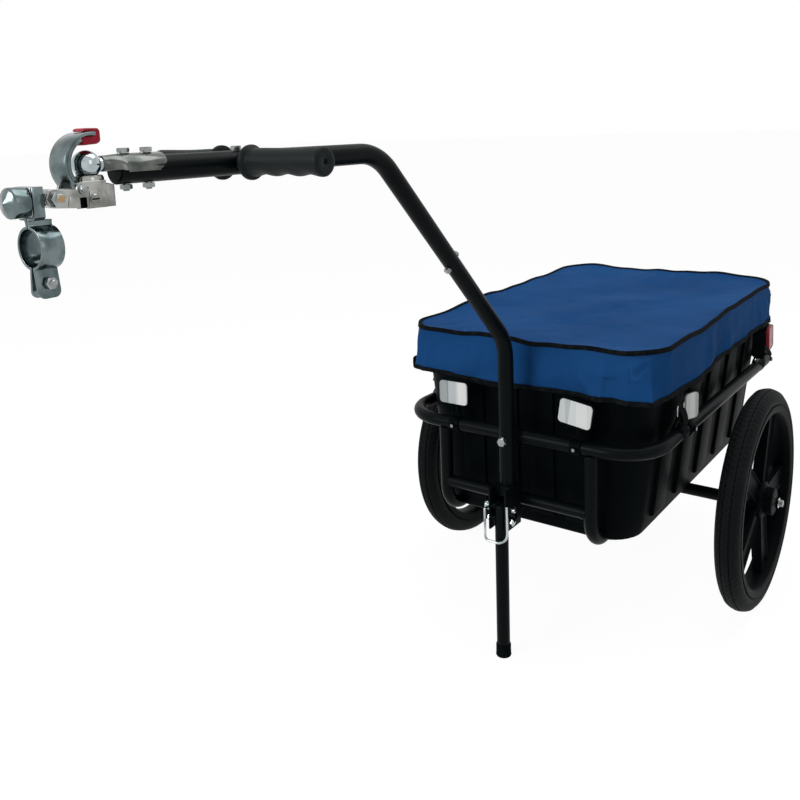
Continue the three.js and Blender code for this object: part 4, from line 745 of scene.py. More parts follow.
def wall_at(height, out=0.0, lift=0.0):
    """Half width and half length of the tub's wall at a height, moved out, and the height lifted."""
    share = height / TUB_HEIGHT
    half_x, half_y = FLOOR_X + (TOP_X - FLOOR_X) * share, FLOOR_Y + (TOP_Y - FLOOR_Y) * share
    return half_x + out, half_y + out, height + lift


def tub_shell():
    bm = bmesh.new()
    bmesh.ops.create_grid(bm, x_segments=1, y_segments=1, size=1)
    here = wall_at(0, -0.006)
    bmesh.ops.scale(bm, vec=(*here[:2], 1), verts=bm.verts)
    round_off(bm, list(bm.verts), TUB_CORNER, 8, "VERTICES")
    ring = list(bm.edges)
    levels = [wall_at(0, -0.0018, 0.0035), wall_at(0, 0, 0.012), wall_at(RIB_LOW), wall_at(RIB_HIGH)]
    levels += [wall_at(0.297), wall_at(0.300, 0.0062, -0.0015), wall_at(0.300, 0.0068, 0.002)]
    levels += [wall_at(TUB_HEIGHT, 0.0068, -0.002), wall_at(TUB_HEIGHT, 0.005)]
    for level in levels:
        ring = push(bm, ring, (0, 0, level[2] - here[2]))
        for vert in {vert for edge in ring for vert in edge.verts}:
            vert.co.x *= level[0] / here[0]
            vert.co.y *= level[1] / here[1]
        here = level
    return bm


def push_ribs(bm, outward, along, half_wall, count, width):
    """Cuts the walls that face one way at the ribs' edges, then pushes the ribs out."""
    half = half_wall - TUB_CORNER - 0.002
    middles = [-half + 2 * half / count * (number + 0.5) for number in range(count)]
    for middle in middles:
        for cut in (middle - width / 2, middle + width / 2):
            walls = [face for face in bm.faces if abs(face.normal.dot(outward)) > 0.9]
            geom = walls + list({edge for face in walls for edge in face.edges})
            geom += list({vert for face in walls for vert in face.verts})
            bmesh.ops.bisect_plane(bm, geom=geom, plane_co=along * cut, plane_no=along)
    ribs = []
    for face in bm.faces:
        at = face.calc_center_median()
        upright = RIB_LOW < at.z < RIB_HIGH and abs(face.normal.dot(outward)) > 0.9
        if upright and any(abs(at.dot(along) - middle) < width / 2 - 0.001 for middle in middles):
            ribs.append(face)
    normals = [face.normal.copy() for face in ribs]
    pulled = bmesh.ops.extrude_discrete_faces(bm, faces=ribs)["faces"]
    for face, normal in zip(pulled, normals):
        bmesh.ops.translate(bm, verts=face.verts, vec=normal * RIB_OUT)
        middle = face.calc_center_median()
        for vert in face.verts:
            vert.co += (middle - vert.co).normalized() * 0.0022
    round_off(bm, list({edge for face in pulled for edge in face.edges}), 0.0016, 2)
    return len(ribs)


tub = tub_shell()
bmesh.ops.recalc_face_normals(tub, faces=tub.faces)
half_x, half_y, _ = wall_at(RIB_LOW)
side_ribs = push_ribs(tub, X, Y, half_y, 5, 0.056)
end_ribs = push_ribs(tub, Y, X, half_x, 4, 0.044)
bmesh.ops.solidify(tub, geom=tub.faces, thickness=0.0028)
for vert in tub.verts:
    tilt = TUB_TILT * vert.co.z / TUB_HEIGHT * vert.co.y / (2 * TOP_Y)
    vert.co += Vector((0, MIDDLE_Y, TUB_FLOOR + tilt))
settle(tub, "tub_shell", plastic_black, "tub", edge=32)
print("tub ribs:", side_ribs, "on the sides,", end_ribs, "on the ends")

# %% [markdown]
# ## The fabric cover
# The cover is one piece of coated cloth: a lid that sags between its edges and a skirt that hangs
# over the tub's rim. Real cloth creases where it is pulled at the corners, so the sheet starts as a
# round-cornered outline that is pulled inward and downward ring by ring, and then every point is
# moved by soft waves and folds. The lid and skirt share one sheet, and its own map carries the weave.

# %% Cover shape
COVER_X, COVER_Y, COVER_R = 0.2318, 0.3443, 0.062
COVER_TOP, COVER_DROP = 0.5363, 0.081
SKIRT_DEPTHS = [0.002, 0.0045] + [0.008 + 0.005 * step for step in range(14)] + [0.077, COVER_DROP]
LID_SHARES = [
    0.994, 0.985, 0.965, 0.935, 0.9, 0.86, 0.81, 0.76, 0.7, 0.64, 0.58, 0.51, 0.44, 0.36, 0.28, 0.2, 0.12, 0.05,
]
# Folds of the skirt, from the pulled corner down to the hem: place and depth of both ends in
# millimetres, where place is measured along the front from its middle, then the fold's width and height
SKIRT_FOLDS = [
    (164, 10, 165, 79, 6.2, -2.6), (150, 10, 138, 79, 8, 5.2), (226, 6, 166, 32, 15, 7),
    (103, 40, 130, 79, 9, 5), (186, 20, 180, 81, 11, 5), (60, 8, 30, 70, 8, 2.4), (90, 6, 105, 75, 9, -2.6),
    (-150, 10, -120, 76, 8, 2.4), (-176, 12, -196, 80, 7, 3.2), (-60, 12, -85, 70, 8, -2.2),
]
# Creases of the lid: how much of each direction they cross, where, how wide and how high
LID_CREASES = [
    (0.8, 0.55, 0.42, 0.035, 0.0016), (0.6, -0.8, 0.31, 0.03, 0.0014),
    (0.9, -0.4, -0.38, 0.03, 0.0015), (0.35, 0.94, -0.55, 0.028, 0.0013),
]


def bell(away):
    return math.exp(-away * away)


def wavy(at, *waves):
    """A sum of sine waves, each with a height, a pace and a start."""
    return sum(height * math.sin(pace * at + start) for height, pace, start in waves)


def tilt_at(y):
    """How much the tub's rim rises towards the rear."""
    return TUB_TILT * (y - MIDDLE_Y) / (2 * COVER_Y)


def lid_drop(u, v, share):
    """How far the lid hangs below its rim: a sag with two ridges, waves and pulled creases."""
    slack = max(0.0, 1 - share ** 2.4)
    rise = 0.0050 * bell((u - v) * 3.6) + 0.0042 * bell((u + v) * 3.8)
    rise += 0.0011 * math.sin(7.3 * u + 3.1 * v + 0.6) + 0.0008 * math.sin(5.1 * v - 9.2 * u + 1.9)
    rise += 0.0007 * math.sin(14.0 * (u + 0.35 * v)) * (1 - abs(v)) + 0.0006 * math.sin(17 * v + 6 * u)
    for part_u, part_v, middle, width, high in LID_CREASES:
        rise += high * bell((u * part_u + v * part_v - middle) / width)
    return (0.0155 - rise) * slack


def rim_wave(angle):
    """The rim isn't quite straight: it dips between the corners where the cloth is loose."""
    return wavy(angle, (0.0019, 6, 0.4), (0.0013, 11, 2.0), (0.0008, 23, 1.2))


def skirt_fold(place, depth):
    """How far the sharp folds push a point of the skirt outward."""
    out = 0.0
    for start, top, end, bottom, wide, high in SKIRT_FOLDS:
        share = (depth / MM - top) / (bottom - top)
        if top - 10 < depth / MM < bottom + 10:
            away = abs(place / MM - (start + (end - start) * share)) / (wide * (0.5 + share))
            out += high * MM * max(0.0, min(1.0, share * 3)) * math.exp(-away * 1.3)
    return out


def skirt_out(x, y, depth):
    """How far a point of the skirt stands out from the rim: waves, folds and a flare at the corners."""
    down = depth / COVER_DROP
    soft = 1 - (1 - down) ** 2
    along, angle = math.atan2(y, x), math.atan2(y / COVER_Y, x / COVER_X)
    hang = wavy(along, (0.0018, 9, 0), (0.0013, 17, 1.1), (0.0008, 29, 0))
    pull = 0.0022 * bell((abs(math.sin(2 * angle)) - 1) / 0.16) * math.sin(34 * angle)
    out = soft * (0.002 + hang + pull * (1 - 0.4 * down) + 0.0012 * math.sin(down * 9 + 12 * along))
    side = 1 if x > 0 else -1
    if y < 0:
        out += skirt_fold(x + (y + COVER_Y) * 0.8 * side, depth)
    else:
        out += 0.6 * skirt_fold(0.9 * y * side - 0.08, depth)
    far_x, far_y = abs(x) - COVER_X + COVER_R, abs(y) - COVER_Y + COVER_R
    if far_x > 0 and far_y > 0:
        pointed = (min(far_x, far_y) / max(far_x, far_y)) ** 1.84
        out += (0.0215 if x > 0 and y < 0 else 0.007) * down * pointed
    return max(out, -0.0006 - 0.0050 * down)


def cover_sheet():
    """The cover's points remember their place: metres down the skirt, or below 0 a share of the lid."""
    bm = bmesh.new()
    place = bm.verts.layers.float.new("place")
    bmesh.ops.create_grid(bm, x_segments=1, y_segments=1, size=1)
    bmesh.ops.scale(bm, vec=(COVER_X, COVER_Y, 1), verts=bm.verts)
    round_off(bm, list(bm.verts), COVER_R, 34, "VERTICES")
    for edge in [edge for edge in bm.edges if edge.calc_length() > 0.1]:
        bmesh.ops.subdivide_edges(bm, edges=[edge], cuts=149 if edge.calc_length() > 0.45 else 109)
    bmesh.ops.delete(bm, geom=list(bm.faces), context="FACES_ONLY")
    rim = edges = list(bm.edges)
    shares = {vert: 1.0 for vert in bm.verts}
    skirt = {}
    here = 0.0
    for depth in SKIRT_DEPTHS:
        edges = push(bm, edges, (0, 0, here - depth))
        here = depth
        skirt.update({vert: depth for edge in edges for vert in edge.verts})
    edges, here = rim, 1.0
    for share in LID_SHARES:
        edges = push(bm, edges, (0, 0, 0))
        points = list({vert for edge in edges for vert in edge.verts})
        bmesh.ops.scale(bm, vec=(share / here,) * 3, verts=points)
        here = share
        shares.update({vert: share for vert in points})
    bmesh.ops.contextual_create(bm, geom=edges)
    uv = bm.loops.layers.uv.new("cloth")
    for face in bm.faces:
        for loop in face.loops:
            x, y, _ = loop.vert.co
            grow = 1 + skirt.get(loop.vert, 0) / math.hypot(x, y)
            loop[uv].uv = (x * grow, y * grow)
    for vert in bm.verts:
        x, y, _ = vert.co
        angle = math.atan2(y / COVER_Y, x / COVER_X)
        if vert in skirt:
            vert[place] = depth = skirt[vert]
            down = depth / COVER_DROP
            grow = 1 + skirt_out(x, y, depth) / math.hypot(x, y)
            wave = wavy(angle, (0.0028, 5, 0.8), (0.0018, 9, 2.1)) * down * down
            vert.co = (x * grow, y * grow, COVER_TOP - depth + rim_wave(angle) * (1 - down) + wave)
        else:
            share = shares[vert]
            vert[place] = share - 1
            edge_round = 0.0022 * max(0.0, (share - 0.985) / 0.015)
            vert.co.z = COVER_TOP + 0.0016 - edge_round + rim_wave(angle) * share ** 8
            vert.co.z -= lid_drop(x / COVER_X, y / COVER_Y, share)
        vert.co.y += MIDDLE_Y
        vert.co.z += tilt_at(vert.co.y)
    return bm


def thicken(piece, thickness, offset):
    wall = piece.modifiers.new("thickness", "SOLIDIFY")
    wall.thickness = thickness * MM
    wall.offset = offset
    return piece


cover = thicken(settle(cover_sheet(), "cover_cloth", cloth_blue, "cover", edge=60, merge=0), 1.2, -1)
print("cover faces:", len(cover.data.polygons))

# %% [markdown]
# ## Binding and hem
# A black tape is sewn over the seam between lid and skirt, and another binds the skirt's lower edge.
# Both follow points of the finished cloth: each is a strip of rings of the cover, copied, lifted off
# the cloth by 0.8 or 0.9 mm and given a thickness. The binding also stands up 3.4 mm over the seam.

# %% Tapes on the cover
def tape(name, first, last, lift, thick, ridge=0.0):
    """Copies the rings of the cover between two of their places and lifts them off the cloth."""
    strip = bmesh.new()
    strip.from_mesh(cover.data)
    place = strip.verts.layers.float["place"]
    gone = [vert for vert in strip.verts if not first < vert[place] < last]
    bmesh.ops.delete(strip, geom=gone, context="VERTS")
    strip.normal_update()
    for vert, normal in [(vert, vert.normal.copy()) for vert in strip.verts]:
        vert.co += normal * lift * MM
        vert.co.z += ridge * MM * bell(vert[place] / 0.0045)
    return thicken(settle(strip, name, cloth_black, edge=60, merge=0), thick, 0)


binding = tape("cover_binding", -0.02, 0.005, 0.8, 1.8, 3.4)
hem = tape("cover_hem", 0.0700, 1.0, 0.9, 1.6)
print("tapes:", len(binding.data.polygons), len(hem.data.polygons))

# %% [markdown]
# ## Straps and buckles
# Four webbing straps are sewn to the hem and go round the ring tube, each with a wire buckle. A
# strap is a row of edges pulled sideways to its width, thickened and smoothed by subdivision.
# The rear right one has an end that hangs down, and the front left one an end that sticks out.

# %% Straps
STRAP_WIDTH, STRAP_THICK = 25, 1.3
BUCKLE_HALF, BUCKLE_LOW, BUCKLE_BAR, BUCKLE_HIGH = 0.0148, 0.409, 0.4175, 0.427
STRAP_LOOP = metres([
    (230, 474), (231.2, 464), (231.8, 452), (231.2, 432), (230.2, 414), (232.8, 400), (237.6, 388),
    (239.3, 376), (236.2, 366.8), (227, 363), (217.8, 366.8), (215, 376), (218, 390), (224, 402),
    (227.2, 414), (227.4, 420),
])
SHORT_TAIL = metres([(230.5, 419), (233.5, 417.5), (236.2, 411), (238.5, 402.5), (239.8, 394)])
LONG_TAIL = metres([(230.5, 419), (235, 418.5), (242, 414), (248, 407), (251.5, 398)])
HANGING_END = metres([(-14, 458), (-18, 446), (-16, 430), (-20, 412), (-15, 393)])
LOOSE_END = metres([(-234.5, 176), (-238, 166), (-245, 152), (-252, 138), (-256, 126), (-257, 116)])


def band(bm, path, width, across=Y):
    """A flat strip along a path of points, pulled to its width."""
    half = across * width * MM / 2
    points = [bm.verts.new(Vector(point) - half) for point in path]
    edges = [bm.edges.new(pair) for pair in zip(points, points[1:])]
    known = set(bm.faces)
    for _ in range(2):
        edges = push(bm, edges, half)
    made = [face for face in bm.faces if face not in known]
    bmesh.ops.recalc_face_normals(bm, faces=made)
    bmesh.ops.solidify(bm, geom=made, thickness=STRAP_THICK * MM)


def strap(side, name, y, rear):
    lean = 0.04 if rear else -0.04
    rise = tilt_at(y)
    body = bmesh.new()
    band(body, [
        (side * x, y + lean * (z - 0.4), z + (rise if z > 0.44 else 0)) for x, z in STRAP_LOOP
    ], STRAP_WIDTH)
    tail = LONG_TAIL if side < 0 or rear else SHORT_TAIL
    band(body, [(side * x, y + 0.0006, z) for x, z in tail], STRAP_WIDTH * 0.96)
    if side > 0 and rear:
        band(body, [(0.2310, y + at, z) for at, z in HANGING_END], 26.5, X)
    if side < 0 and not rear:
        band(body, [(x, at, 0.448) for x, at in LOOSE_END], 24, Z)
    piece = settle(body, f"strap_band_{name}", webbing, f"strap_{name}", edge=50)
    soft = piece.modifiers.new("smooth", "SUBSURF")
    soft.levels = soft.render_levels = 2
    buckle = bmesh.new()
    x, near, far = side * 0.2290, y - BUCKLE_HALF, y + BUCKLE_HALF
    bent_tube(buckle, [
        (x, y, BUCKLE_LOW), (x, far, BUCKLE_LOW), (x, far, BUCKLE_HIGH),
        (x, near, BUCKLE_HIGH), (x, near, BUCKLE_LOW), (x, y - 0.0001, BUCKLE_LOW),
    ], 1.2, 3, 0, 12, 5)
    bent_tube(buckle, [(x, near, BUCKLE_BAR), (x, far, BUCKLE_BAR)], 1.1, 3, 0, 12, 3)
    settle(buckle, f"buckle_{name}", chrome)


for side, name in SIDES:
    strap(side, f"front_{name}", 0.180, False)
    strap(side, f"rear_{name}", 0.657, True)
print("straps:", [name for name in made_pieces if name.startswith("strap_band")])

# %% [markdown]
# ## Reflectors
# A reflector has a black housing with a stem and a clip round the ring tube, and a moulded lens in
# three fields of corner cubes. The fields are cut in the lens's face with two planes, and each has
# its own painted brightness: a painted reflection of the light its prisms throw another way.

# %% Reflectors
# Lit and shaded copies of each lens: the brighter and darker fields are painted reflection
lens_fields = {
    "white": [
        prism_lens("white_lens_side", (0.42, 0.47, 0.47), (0.27, 0.32, 0.33)),
        prism_lens("white_lens_middle", (0.76, 0.80, 0.79), (0.54, 0.60, 0.61)),
        prism_lens("white_lens_bright", (0.93, 0.94, 0.93), (0.78, 0.82, 0.82)),
    ],
    "red": [
        prism_lens("red_lens_side", (0.40, 0.010, 0.022), (0.24, 0.006, 0.012)),
        prism_lens("red_lens_middle", (0.58, 0.02, 0.035), (0.3, 0.008, 0.015)),
        prism_lens("red_lens_bright", (0.7, 0.06, 0.08), (0.46, 0.02, 0.03)),
    ],
}


def reflector(name, colour, size, rise, place, turn, fields, tilt=0, depth=3.4, twist=0):
    """A reflector that faces -Y at the origin with its tube along X, then put in place."""
    width, height = size
    move = Matrix.Translation(Vector(place)) @ Matrix.Rotation(math.radians(turn), 4, "Z")
    tube_axis, inward = move.to_3x3() @ X, move.to_3x3() @ Y
    lean = move @ Matrix.Translation((0, 0, rise * MM)) @ Matrix.Rotation(math.radians(twist), 4, "Z")
    lean = lean @ Matrix.Rotation(math.radians(tilt), 4, "Y")
    housing = bmesh.new()
    plate(housing, rounded(width, height, 7.2), 6, lean @ front_on((0, -0.0012, 0)), 0.9, 3)
    stem = [(-9, -6), (9, -6), (9, 6), (6.5, 14), (6.5, rise - 4), (-6.5, rise - 4), (-6.5, 14), (-9, 6)]
    plate(housing, stem, 3, move @ front_on((0, 0.0015, 0.011)), 0.6)
    for x in (-5.3, 5.3):
        rib = rounded(1.6, rise - 24, 0.7, 2, (x, rise / 2 + 7))
        plate(housing, rib, 2.2, move @ front_on((0, -0.0014, 0)))
    clip = mirrored([(11.2, -9), (13.4, -9), (13.6, -8.5)])
    turned(housing, clip + clip[:1], place, tube_axis, 40)
    turned(housing, [(0, -16.8), (4.2, -16.8), (4.8, -16), (4.8, -12), (0, -12)], place, inward, 24)
    settle(housing, f"{name}_housing", plastic_black, name)
    screw = bmesh.new()
    turned(screw, [(0, -18.6), (2.1, -18.4), (3, -17.6), (3.1, -16.7), (0, -16.7)], place, inward, 20)
    settle(screw, f"{name}_screw", zinc)
    lens = bmesh.new()
    plate(lens, rounded(width - 3, height - 3, 6.2), depth, Matrix.Identity(4), 0.9, 3)
    cut = width * MM / 6
    for x in (-cut, cut):
        geom = list(lens.faces) + list(lens.edges) + list(lens.verts)
        bmesh.ops.bisect_plane(lens, geom=geom, plane_co=(x, 0, 0), plane_no=X)
    front = []
    for face in lens.faces:
        at = face.calc_center_median()
        face.material_index = fields[0 if at.x < -cut else 2 if at.x > cut else 1]
        if face.normal.z > 0.99 or at.z > depth * MM - 0.0001:
            front.append(face)
    bmesh.ops.inset_region(lens, faces=front, thickness=0.0012, depth=-0.0003)
    bmesh.ops.transform(lens, matrix=lean @ front_on((0, -0.0068, 0)), verts=lens.verts)
    settle(lens, f"{name}_lens", lens_fields[colour], slot=f"{colour}_lens", edge=25)


# Which field is bright on each reflector is painted reflection too
FRONT_LENS, SIDE_LENS, REAR_LENS = (58, 42), (34, 46), (40, 52)
reflector("reflector_front_left", "white", FRONT_LENS, 57, (-0.113, FRONT_Y, RING_Z), 0, (0, 1, 2))
reflector("reflector_front_right", "white", FRONT_LENS, 57, (0.113, FRONT_Y, RING_Z), 0, (1, 2, 2), 8)
for (side, name), fields in zip(SIDES, ((0, 1, 2), (2, 2, 1))):
    place = (side * RING_X, 0.217, RING_Z)
    reflector(f"reflector_side_{name}", "white", SIDE_LENS, 40, place, side * 90, fields, 0, 4.4, side * -20)
bend_at, bend = math.radians(15), RING_BEND * MM
bend_x = RING_X - bend + bend * math.cos(bend_at) ** 2
bend_y = REAR_Y - bend + bend * math.cos(bend_at) * math.sin(bend_at)
for side, name in SIDES:
    place = (side * bend_x, bend_y, RING_Z)
    reflector(f"reflector_rear_{name}", "red", REAR_LENS, 46, place, side * 92, (1, 1, 0), side * -9, 7.5)
print("reflectors:", sum(name.endswith("_lens") for name in made_pieces))

# %% [markdown]
# ## Nuts, bolts and wire
# Small fasteners catch the light, so they have their real shapes. A hexagon is a circle of points
# pushed out to six flats, with its corners dropped as the cone of a chamfer would cut them. A thread
# is a turned profile of small ridges, and its tip is rounded. Outlines can also be bridged, ring by
# ring, which gives a block that changes shape on its way up.

# %% Hexagon and thread
def hexagon(bm, centre, axis, flats, height):
    """A chamfered hexagon that starts at a point and rises along an axis."""
    known = set(bm.verts)
    half, height = flats * MM / 2, height * MM
    rim = bmesh.ops.create_circle(bm, cap_ends=True, segments=36, radius=half)["verts"]
    top = verts_in(bmesh.ops.extrude_face_region(bm, geom=[rim[0].link_faces[0]])["geom"])
    bmesh.ops.translate(bm, verts=top, vec=(0, 0, height))
    caps = [face for vert in (rim[0], top[0]) for face in vert.link_faces if len(face.verts) > 4]
    bmesh.ops.inset_individual(bm, faces=caps, thickness=half * 0.05)
    for vert in rim + top:
        angle = math.atan2(vert.co.y, vert.co.x)
        stretch = 1 / math.cos(angle % (math.pi / 3) - math.pi / 6)
        drop = half * (stretch - 1) * 0.6 + 0.00012
        vert.co = (vert.co.x * stretch, vert.co.y * stretch, drop if vert.co.z < height / 2 else height - drop)
    made = [vert for vert in bm.verts if vert not in known]
    bmesh.ops.transform(bm, matrix=Matrix.Translation(Vector(centre)) @ facing(axis), verts=made)


def threaded(radius, start, tip, pitch=1):
    """The profile of a threaded tail with a rounded tip."""
    profile = [(0, start), (radius, start)]
    while start + pitch < tip - 0.5:
        profile += [(radius * 0.88, start + pitch * 0.5), (radius, start + pitch)]
        start += pitch
    return profile + [(radius, tip - 0.5), (radius * 0.8, tip), (0, tip)]


def bolt(name, nodes, seat, axis, size, nut, tip, body="frame", finish=zinc):
    """A hex bolt from the seat of its head, with its nut and its tip so far along it."""
    flats, head, radius = size
    seat, axis = Vector(seat), Vector(axis).normalized()
    bm = bmesh.new()
    turned(bm, [(0, 0), (flats * 0.55, 0), (flats * 0.55, -0.8), (0, -0.8)], seat, axis, 32)
    hexagon(bm, seat - axis * 0.0006, -axis, flats, head - 0.6)
    turned(bm, [(0, 0), (radius, 0), (radius, tip - 3), (0, tip - 3)], seat, axis, 24)
    turned(bm, threaded(radius, tip - 4, tip), seat, axis, 24)
    hexagon(bm, seat + axis * nut * MM, axis, flats, head)
    settle(bm, name, finish, *nodes, body=body)


def closed(bm):
    """Fills the open ends of a rod."""
    bmesh.ops.holes_fill(bm, edges=[edge for edge in bm.edges if edge.is_boundary])


def bridged(bm, levels, place):
    """Closed outlines at different heights, bridged one to the next, with the ends filled."""
    rings = []
    for outline, height in levels:
        points = [bm.verts.new(place @ Vector((x, y, height * MM))) for x, y in metres(outline)]
        rings.append([bm.edges.new(pair) for pair in zip(points, points[1:] + points[:1])])
    for lower, upper in zip(rings, rings[1:]):
        bmesh.ops.bridge_loops(bm, edges=lower + upper)
    for ring in (rings[0], rings[-1]):
        bmesh.ops.contextual_create(bm, geom=ring)


# %% Bolts
# A bolt's size is the width over its flats, the height of its head and its radius
M6, M8, M8_NARROW = (9.8, 4.5, 3), (13, 6, 4), (12.8, 6, 4)
ball = Vector((0, -0.705, 0.857))
pivot = Vector((0, -0.747, 0.831))
across_slant = Vector((0, slant.z, -slant.y))
joint_seat = seam - slant * 0.026 - across_slant * 0.0128
bolt("frame_bolt", ["drawbar_frame_bolt"], (0, 0.0042, RING_Z), Y, M8_NARROW, 50.1, 58.1)
bolt("joint_bolt", ["drawbar_joint_bolt"], joint_seat, across_slant, M6, 25.6, 31.6)
bolt("hitch_screw_front", ["hitch_bolt_front"], (0, -0.666, 0.8656), -Z, M6, 28.4, 34.4)
bolt("hitch_screw_rear", ["hitch_bolt_rear"], (0, -0.641, 0.8656), -Z, M6, 28.4, 34.4)
bolt("stand_pivot", ["stand_bolt"], (-0.0164, -0.003, 0.245), X, M8, 32.8, 40.8, finish=chrome)
bolt("swivel_pivot", ["pivot_bolt", "pivot_nut"], pivot - 0.0153 * X, X, M8, 30.6, 38.9, "coupling_head")
clamp_nodes = ["seat_clamp_bolt", "seat_clamp_nut"]
bolt("clamp_bolt", clamp_nodes, (-0.0064, -0.7555, 0.761), X, M6, 12.8, 19.6, "clamp")
tip = bmesh.new()
turned(tip, [(0, 0), (2.9, 0), (3.1, 0.2), (3.1, 0.4), (0, 0.5)], pivot + 0.0234 * X, X, 24)
settle(tip, "swivel_pivot_tip", bronze, body="coupling_head")
for side, name in SIDES:
    axle = bmesh.new()
    inner_end, outward = (side * 0.2503, AXLE_Y, AXLE_Z), side * X
    turned(axle, [
        (0, 0), (6, 0), (6, 11.7), (10, 11.7), (10, 19.4), (6, 19.6), (6, 86), (0, 86),
    ], inner_end, outward, 40)
    turned(axle, threaded(6, 80, 94.2, 1.5), inner_end, outward, 32)
    settle(axle, f"axle_stud_{name}", zinc, f"axle_bolt_{name}")
    nut = bmesh.new()
    hexagon(nut, (side * 0.3303, AXLE_Y, AXLE_Z), outward, 17.2, 7.4)
    settle(nut, f"axle_locknut_{name}", chrome, f"axle_nut_{name}")
print("bolts:", sum("bolt" in name or "pivot" in name or "screw" in name for name in made_pieces))

# %% [markdown]
# ## Handle, grips and stand
# The handle is a tube through the drawbar. Its grips are moulded rubber with a flange, three hollows
# for the fingers below and fine rings. The hollows are pushed into a turned grip point by point. The
# stand is a tube in a rubber foot, locked by a pin whose wire bail swings round the drawbar.

# %% Handle and grips
HANDLE_X, HANDLE_Y = 0.1192, -0.529
GRIP_START, GRIP_LENGTH, GRIP_RADIUS = 27, 91.5, 14.5
handle_at = Vector((0, HANDLE_Y, DRAW_Z))

handle = bmesh.new()
bent_tube(handle, [handle_at - HANDLE_X * X, handle_at + HANDLE_X * X], 9.5)
for side, _ in SIDES:
    weld = [(9.3, 0), (12.5, 0.2), (11.2, 1.6), (9.3, 2)]
    turned(handle, weld, handle_at + side * 0.0112 * X, side * X, 30)
settle(handle, "handle_tube", powder_black, "handle_bar")
for side, name in SIDES:
    collar = bmesh.new()
    ridges = threaded(11.8, 12.7, 18.6, 1.2)[1:-1]
    turned(collar, [(9.4, 12.5)] + ridges + [(9.4, 18.7)], handle_at, side * X, 36)
    settle(collar, f"handle_collar_{name}", zinc)
screw = bmesh.new()
hexagon(screw, (0, HANDLE_Y, 0.8627), Z, 9.8, 4.5)
turned(screw, [
    (0, -5), (3, -5), (3, 1.2), (4.9, 1.2), (4.9, 0.4), (0, 0.4),
], (0, HANDLE_Y, 0.8622), Z, 28)
settle(screw, "handle_fixing", zinc, "handle_screw")


def grip_rubber():
    soft = Finish("grip_rubber", 0.08)
    x, y, z = soft.axes()
    round_grip = (z - DRAW_Z).angle_to(y - HANDLE_Y)
    rings = (x * 1570).sine().between(-0.2, 0.9)
    knurl = (round_grip * 26 + x * 900).sine() * (round_grip * 26 - x * 900).sine()
    below = (DRAW_Z - z).between(-0.002, 0.006)
    wear = soft.noise(50, 4).between(0.45, 0.8)
    return soft.dress(
        wear * 0.6, (0.0085, 0.0125, 0.0125), (0.018, 0.022, 0.022), 0.46 + wear * 0.14,
        rings * 0.1 * (1 - below) + knurl * below * 0.3 + soft.noise(900, 2) * 0.1, 0.0005,
    )


grip_finish = grip_rubber()
for side, name in SIDES:
    grip = bmesh.new()
    profile = [(9.8, 19), (16.8, 19), (17.8, 19.9), (18, 21.2), (18, 23.2), (17.4, 24.5), (15.2, 25.6)]
    for share in (step / 64 for step in range(65)):
        waist = 0.6 * math.sin(share * math.pi) ** 2
        profile.append((GRIP_RADIUS - waist, GRIP_START + GRIP_LENGTH * share))
    profile += [(14.3, 120.2), (13.4, 121.5), (11.8, 122), (3.5, 122), (2.6, 121.2), (2.5, 119.6), (0, 119.4)]
    turned(grip, profile, handle_at, side * X, 56)
    for vert in grip.verts:
        along = (abs(vert.co.x) / MM - GRIP_START) / GRIP_LENGTH
        down = (DRAW_Z - vert.co.z) / MM / GRIP_RADIUS
        if 0 < along < 1 and down > 0:
            vert.co.z += 0.0011 * (1 - math.cos(along * 3 * math.tau)) * down * down
    settle(grip, f"grip_rubber_{name}", grip_finish, f"grip_{name}", slot="black_rubber", edge=50)
print("handle made with", made_pieces[-1])

# %% Stand
STAND_Y, LOCK_Z = -0.003, 0.265
leg = bmesh.new()
turned(leg, [
    (0, 4), (10.5, 4), (11, 4.6), (11, 266), (10.6, 268.8), (9.4, 270.4), (7, 271), (0, 271),
], (0, STAND_Y, 0), Z, 40)
settle(leg, "stand_tube", powder_black, "stand_leg", body="stand")
foot = bmesh.new()
turned(foot, [
    (0, 0), (11.2, 0), (12.4, 0.8), (13, 2.2), (12.8, 5), (12, 5.6), (12, 6.6), (12.6, 7.2), (12.6, 10),
    (11.9, 10.6), (11.9, 11.6), (12.5, 12.2), (12.5, 20.5), (12.1, 21.8), (11.4, 22), (11, 21.4),
], (0, STAND_Y, 0), Z, 40)
settle(foot, "stand_tip", rubber_black, "stand_foot", body="stand")
pin = bmesh.new()
turned(pin, [
    (0, -29.3), (5.2, -29.3), (6.2, -28.8), (6.5, -28), (6.5, -24.3), (6, -23.5), (4, -23.3), (4, 21.2),
    (3.4, 21.6), (3.4, 22.6), (4, 23), (4, 24.4), (3, 25.6), (1.4, 26), (0, 26),
], (0, STAND_Y, LOCK_Z), X, 32)
settle(pin, "lock_pin_bar", chrome, "lock_pin", body="lock_pin")
bail = bmesh.new()
bent_tube(bail, [
    (-0.021, -0.0095, LOCK_Z), (-0.021, -0.021, LOCK_Z), (-0.021, -0.021, 0.211),
    (0.021, -0.021, 0.211), (0.020, -0.021, 0.278),
], 2, [0, 7, 20.8], 0, 14, 14)
closed(bail)
turned(bail, arc((6.5, 0), 2, 0, 360, 12), (-0.021, STAND_Y, LOCK_Z), X, 36)
settle(bail, "lock_bail_wire", chrome, "lock_bail", body="lock_bail")
print("stand made:", made_pieces[-4:])

# %% [markdown]
# ## Hitch and ball
# A pressed half shell is bolted over the drawbar's end, and its neck carries a polished ball. The
# edges of the shell are rolled, so they shine as two lines.

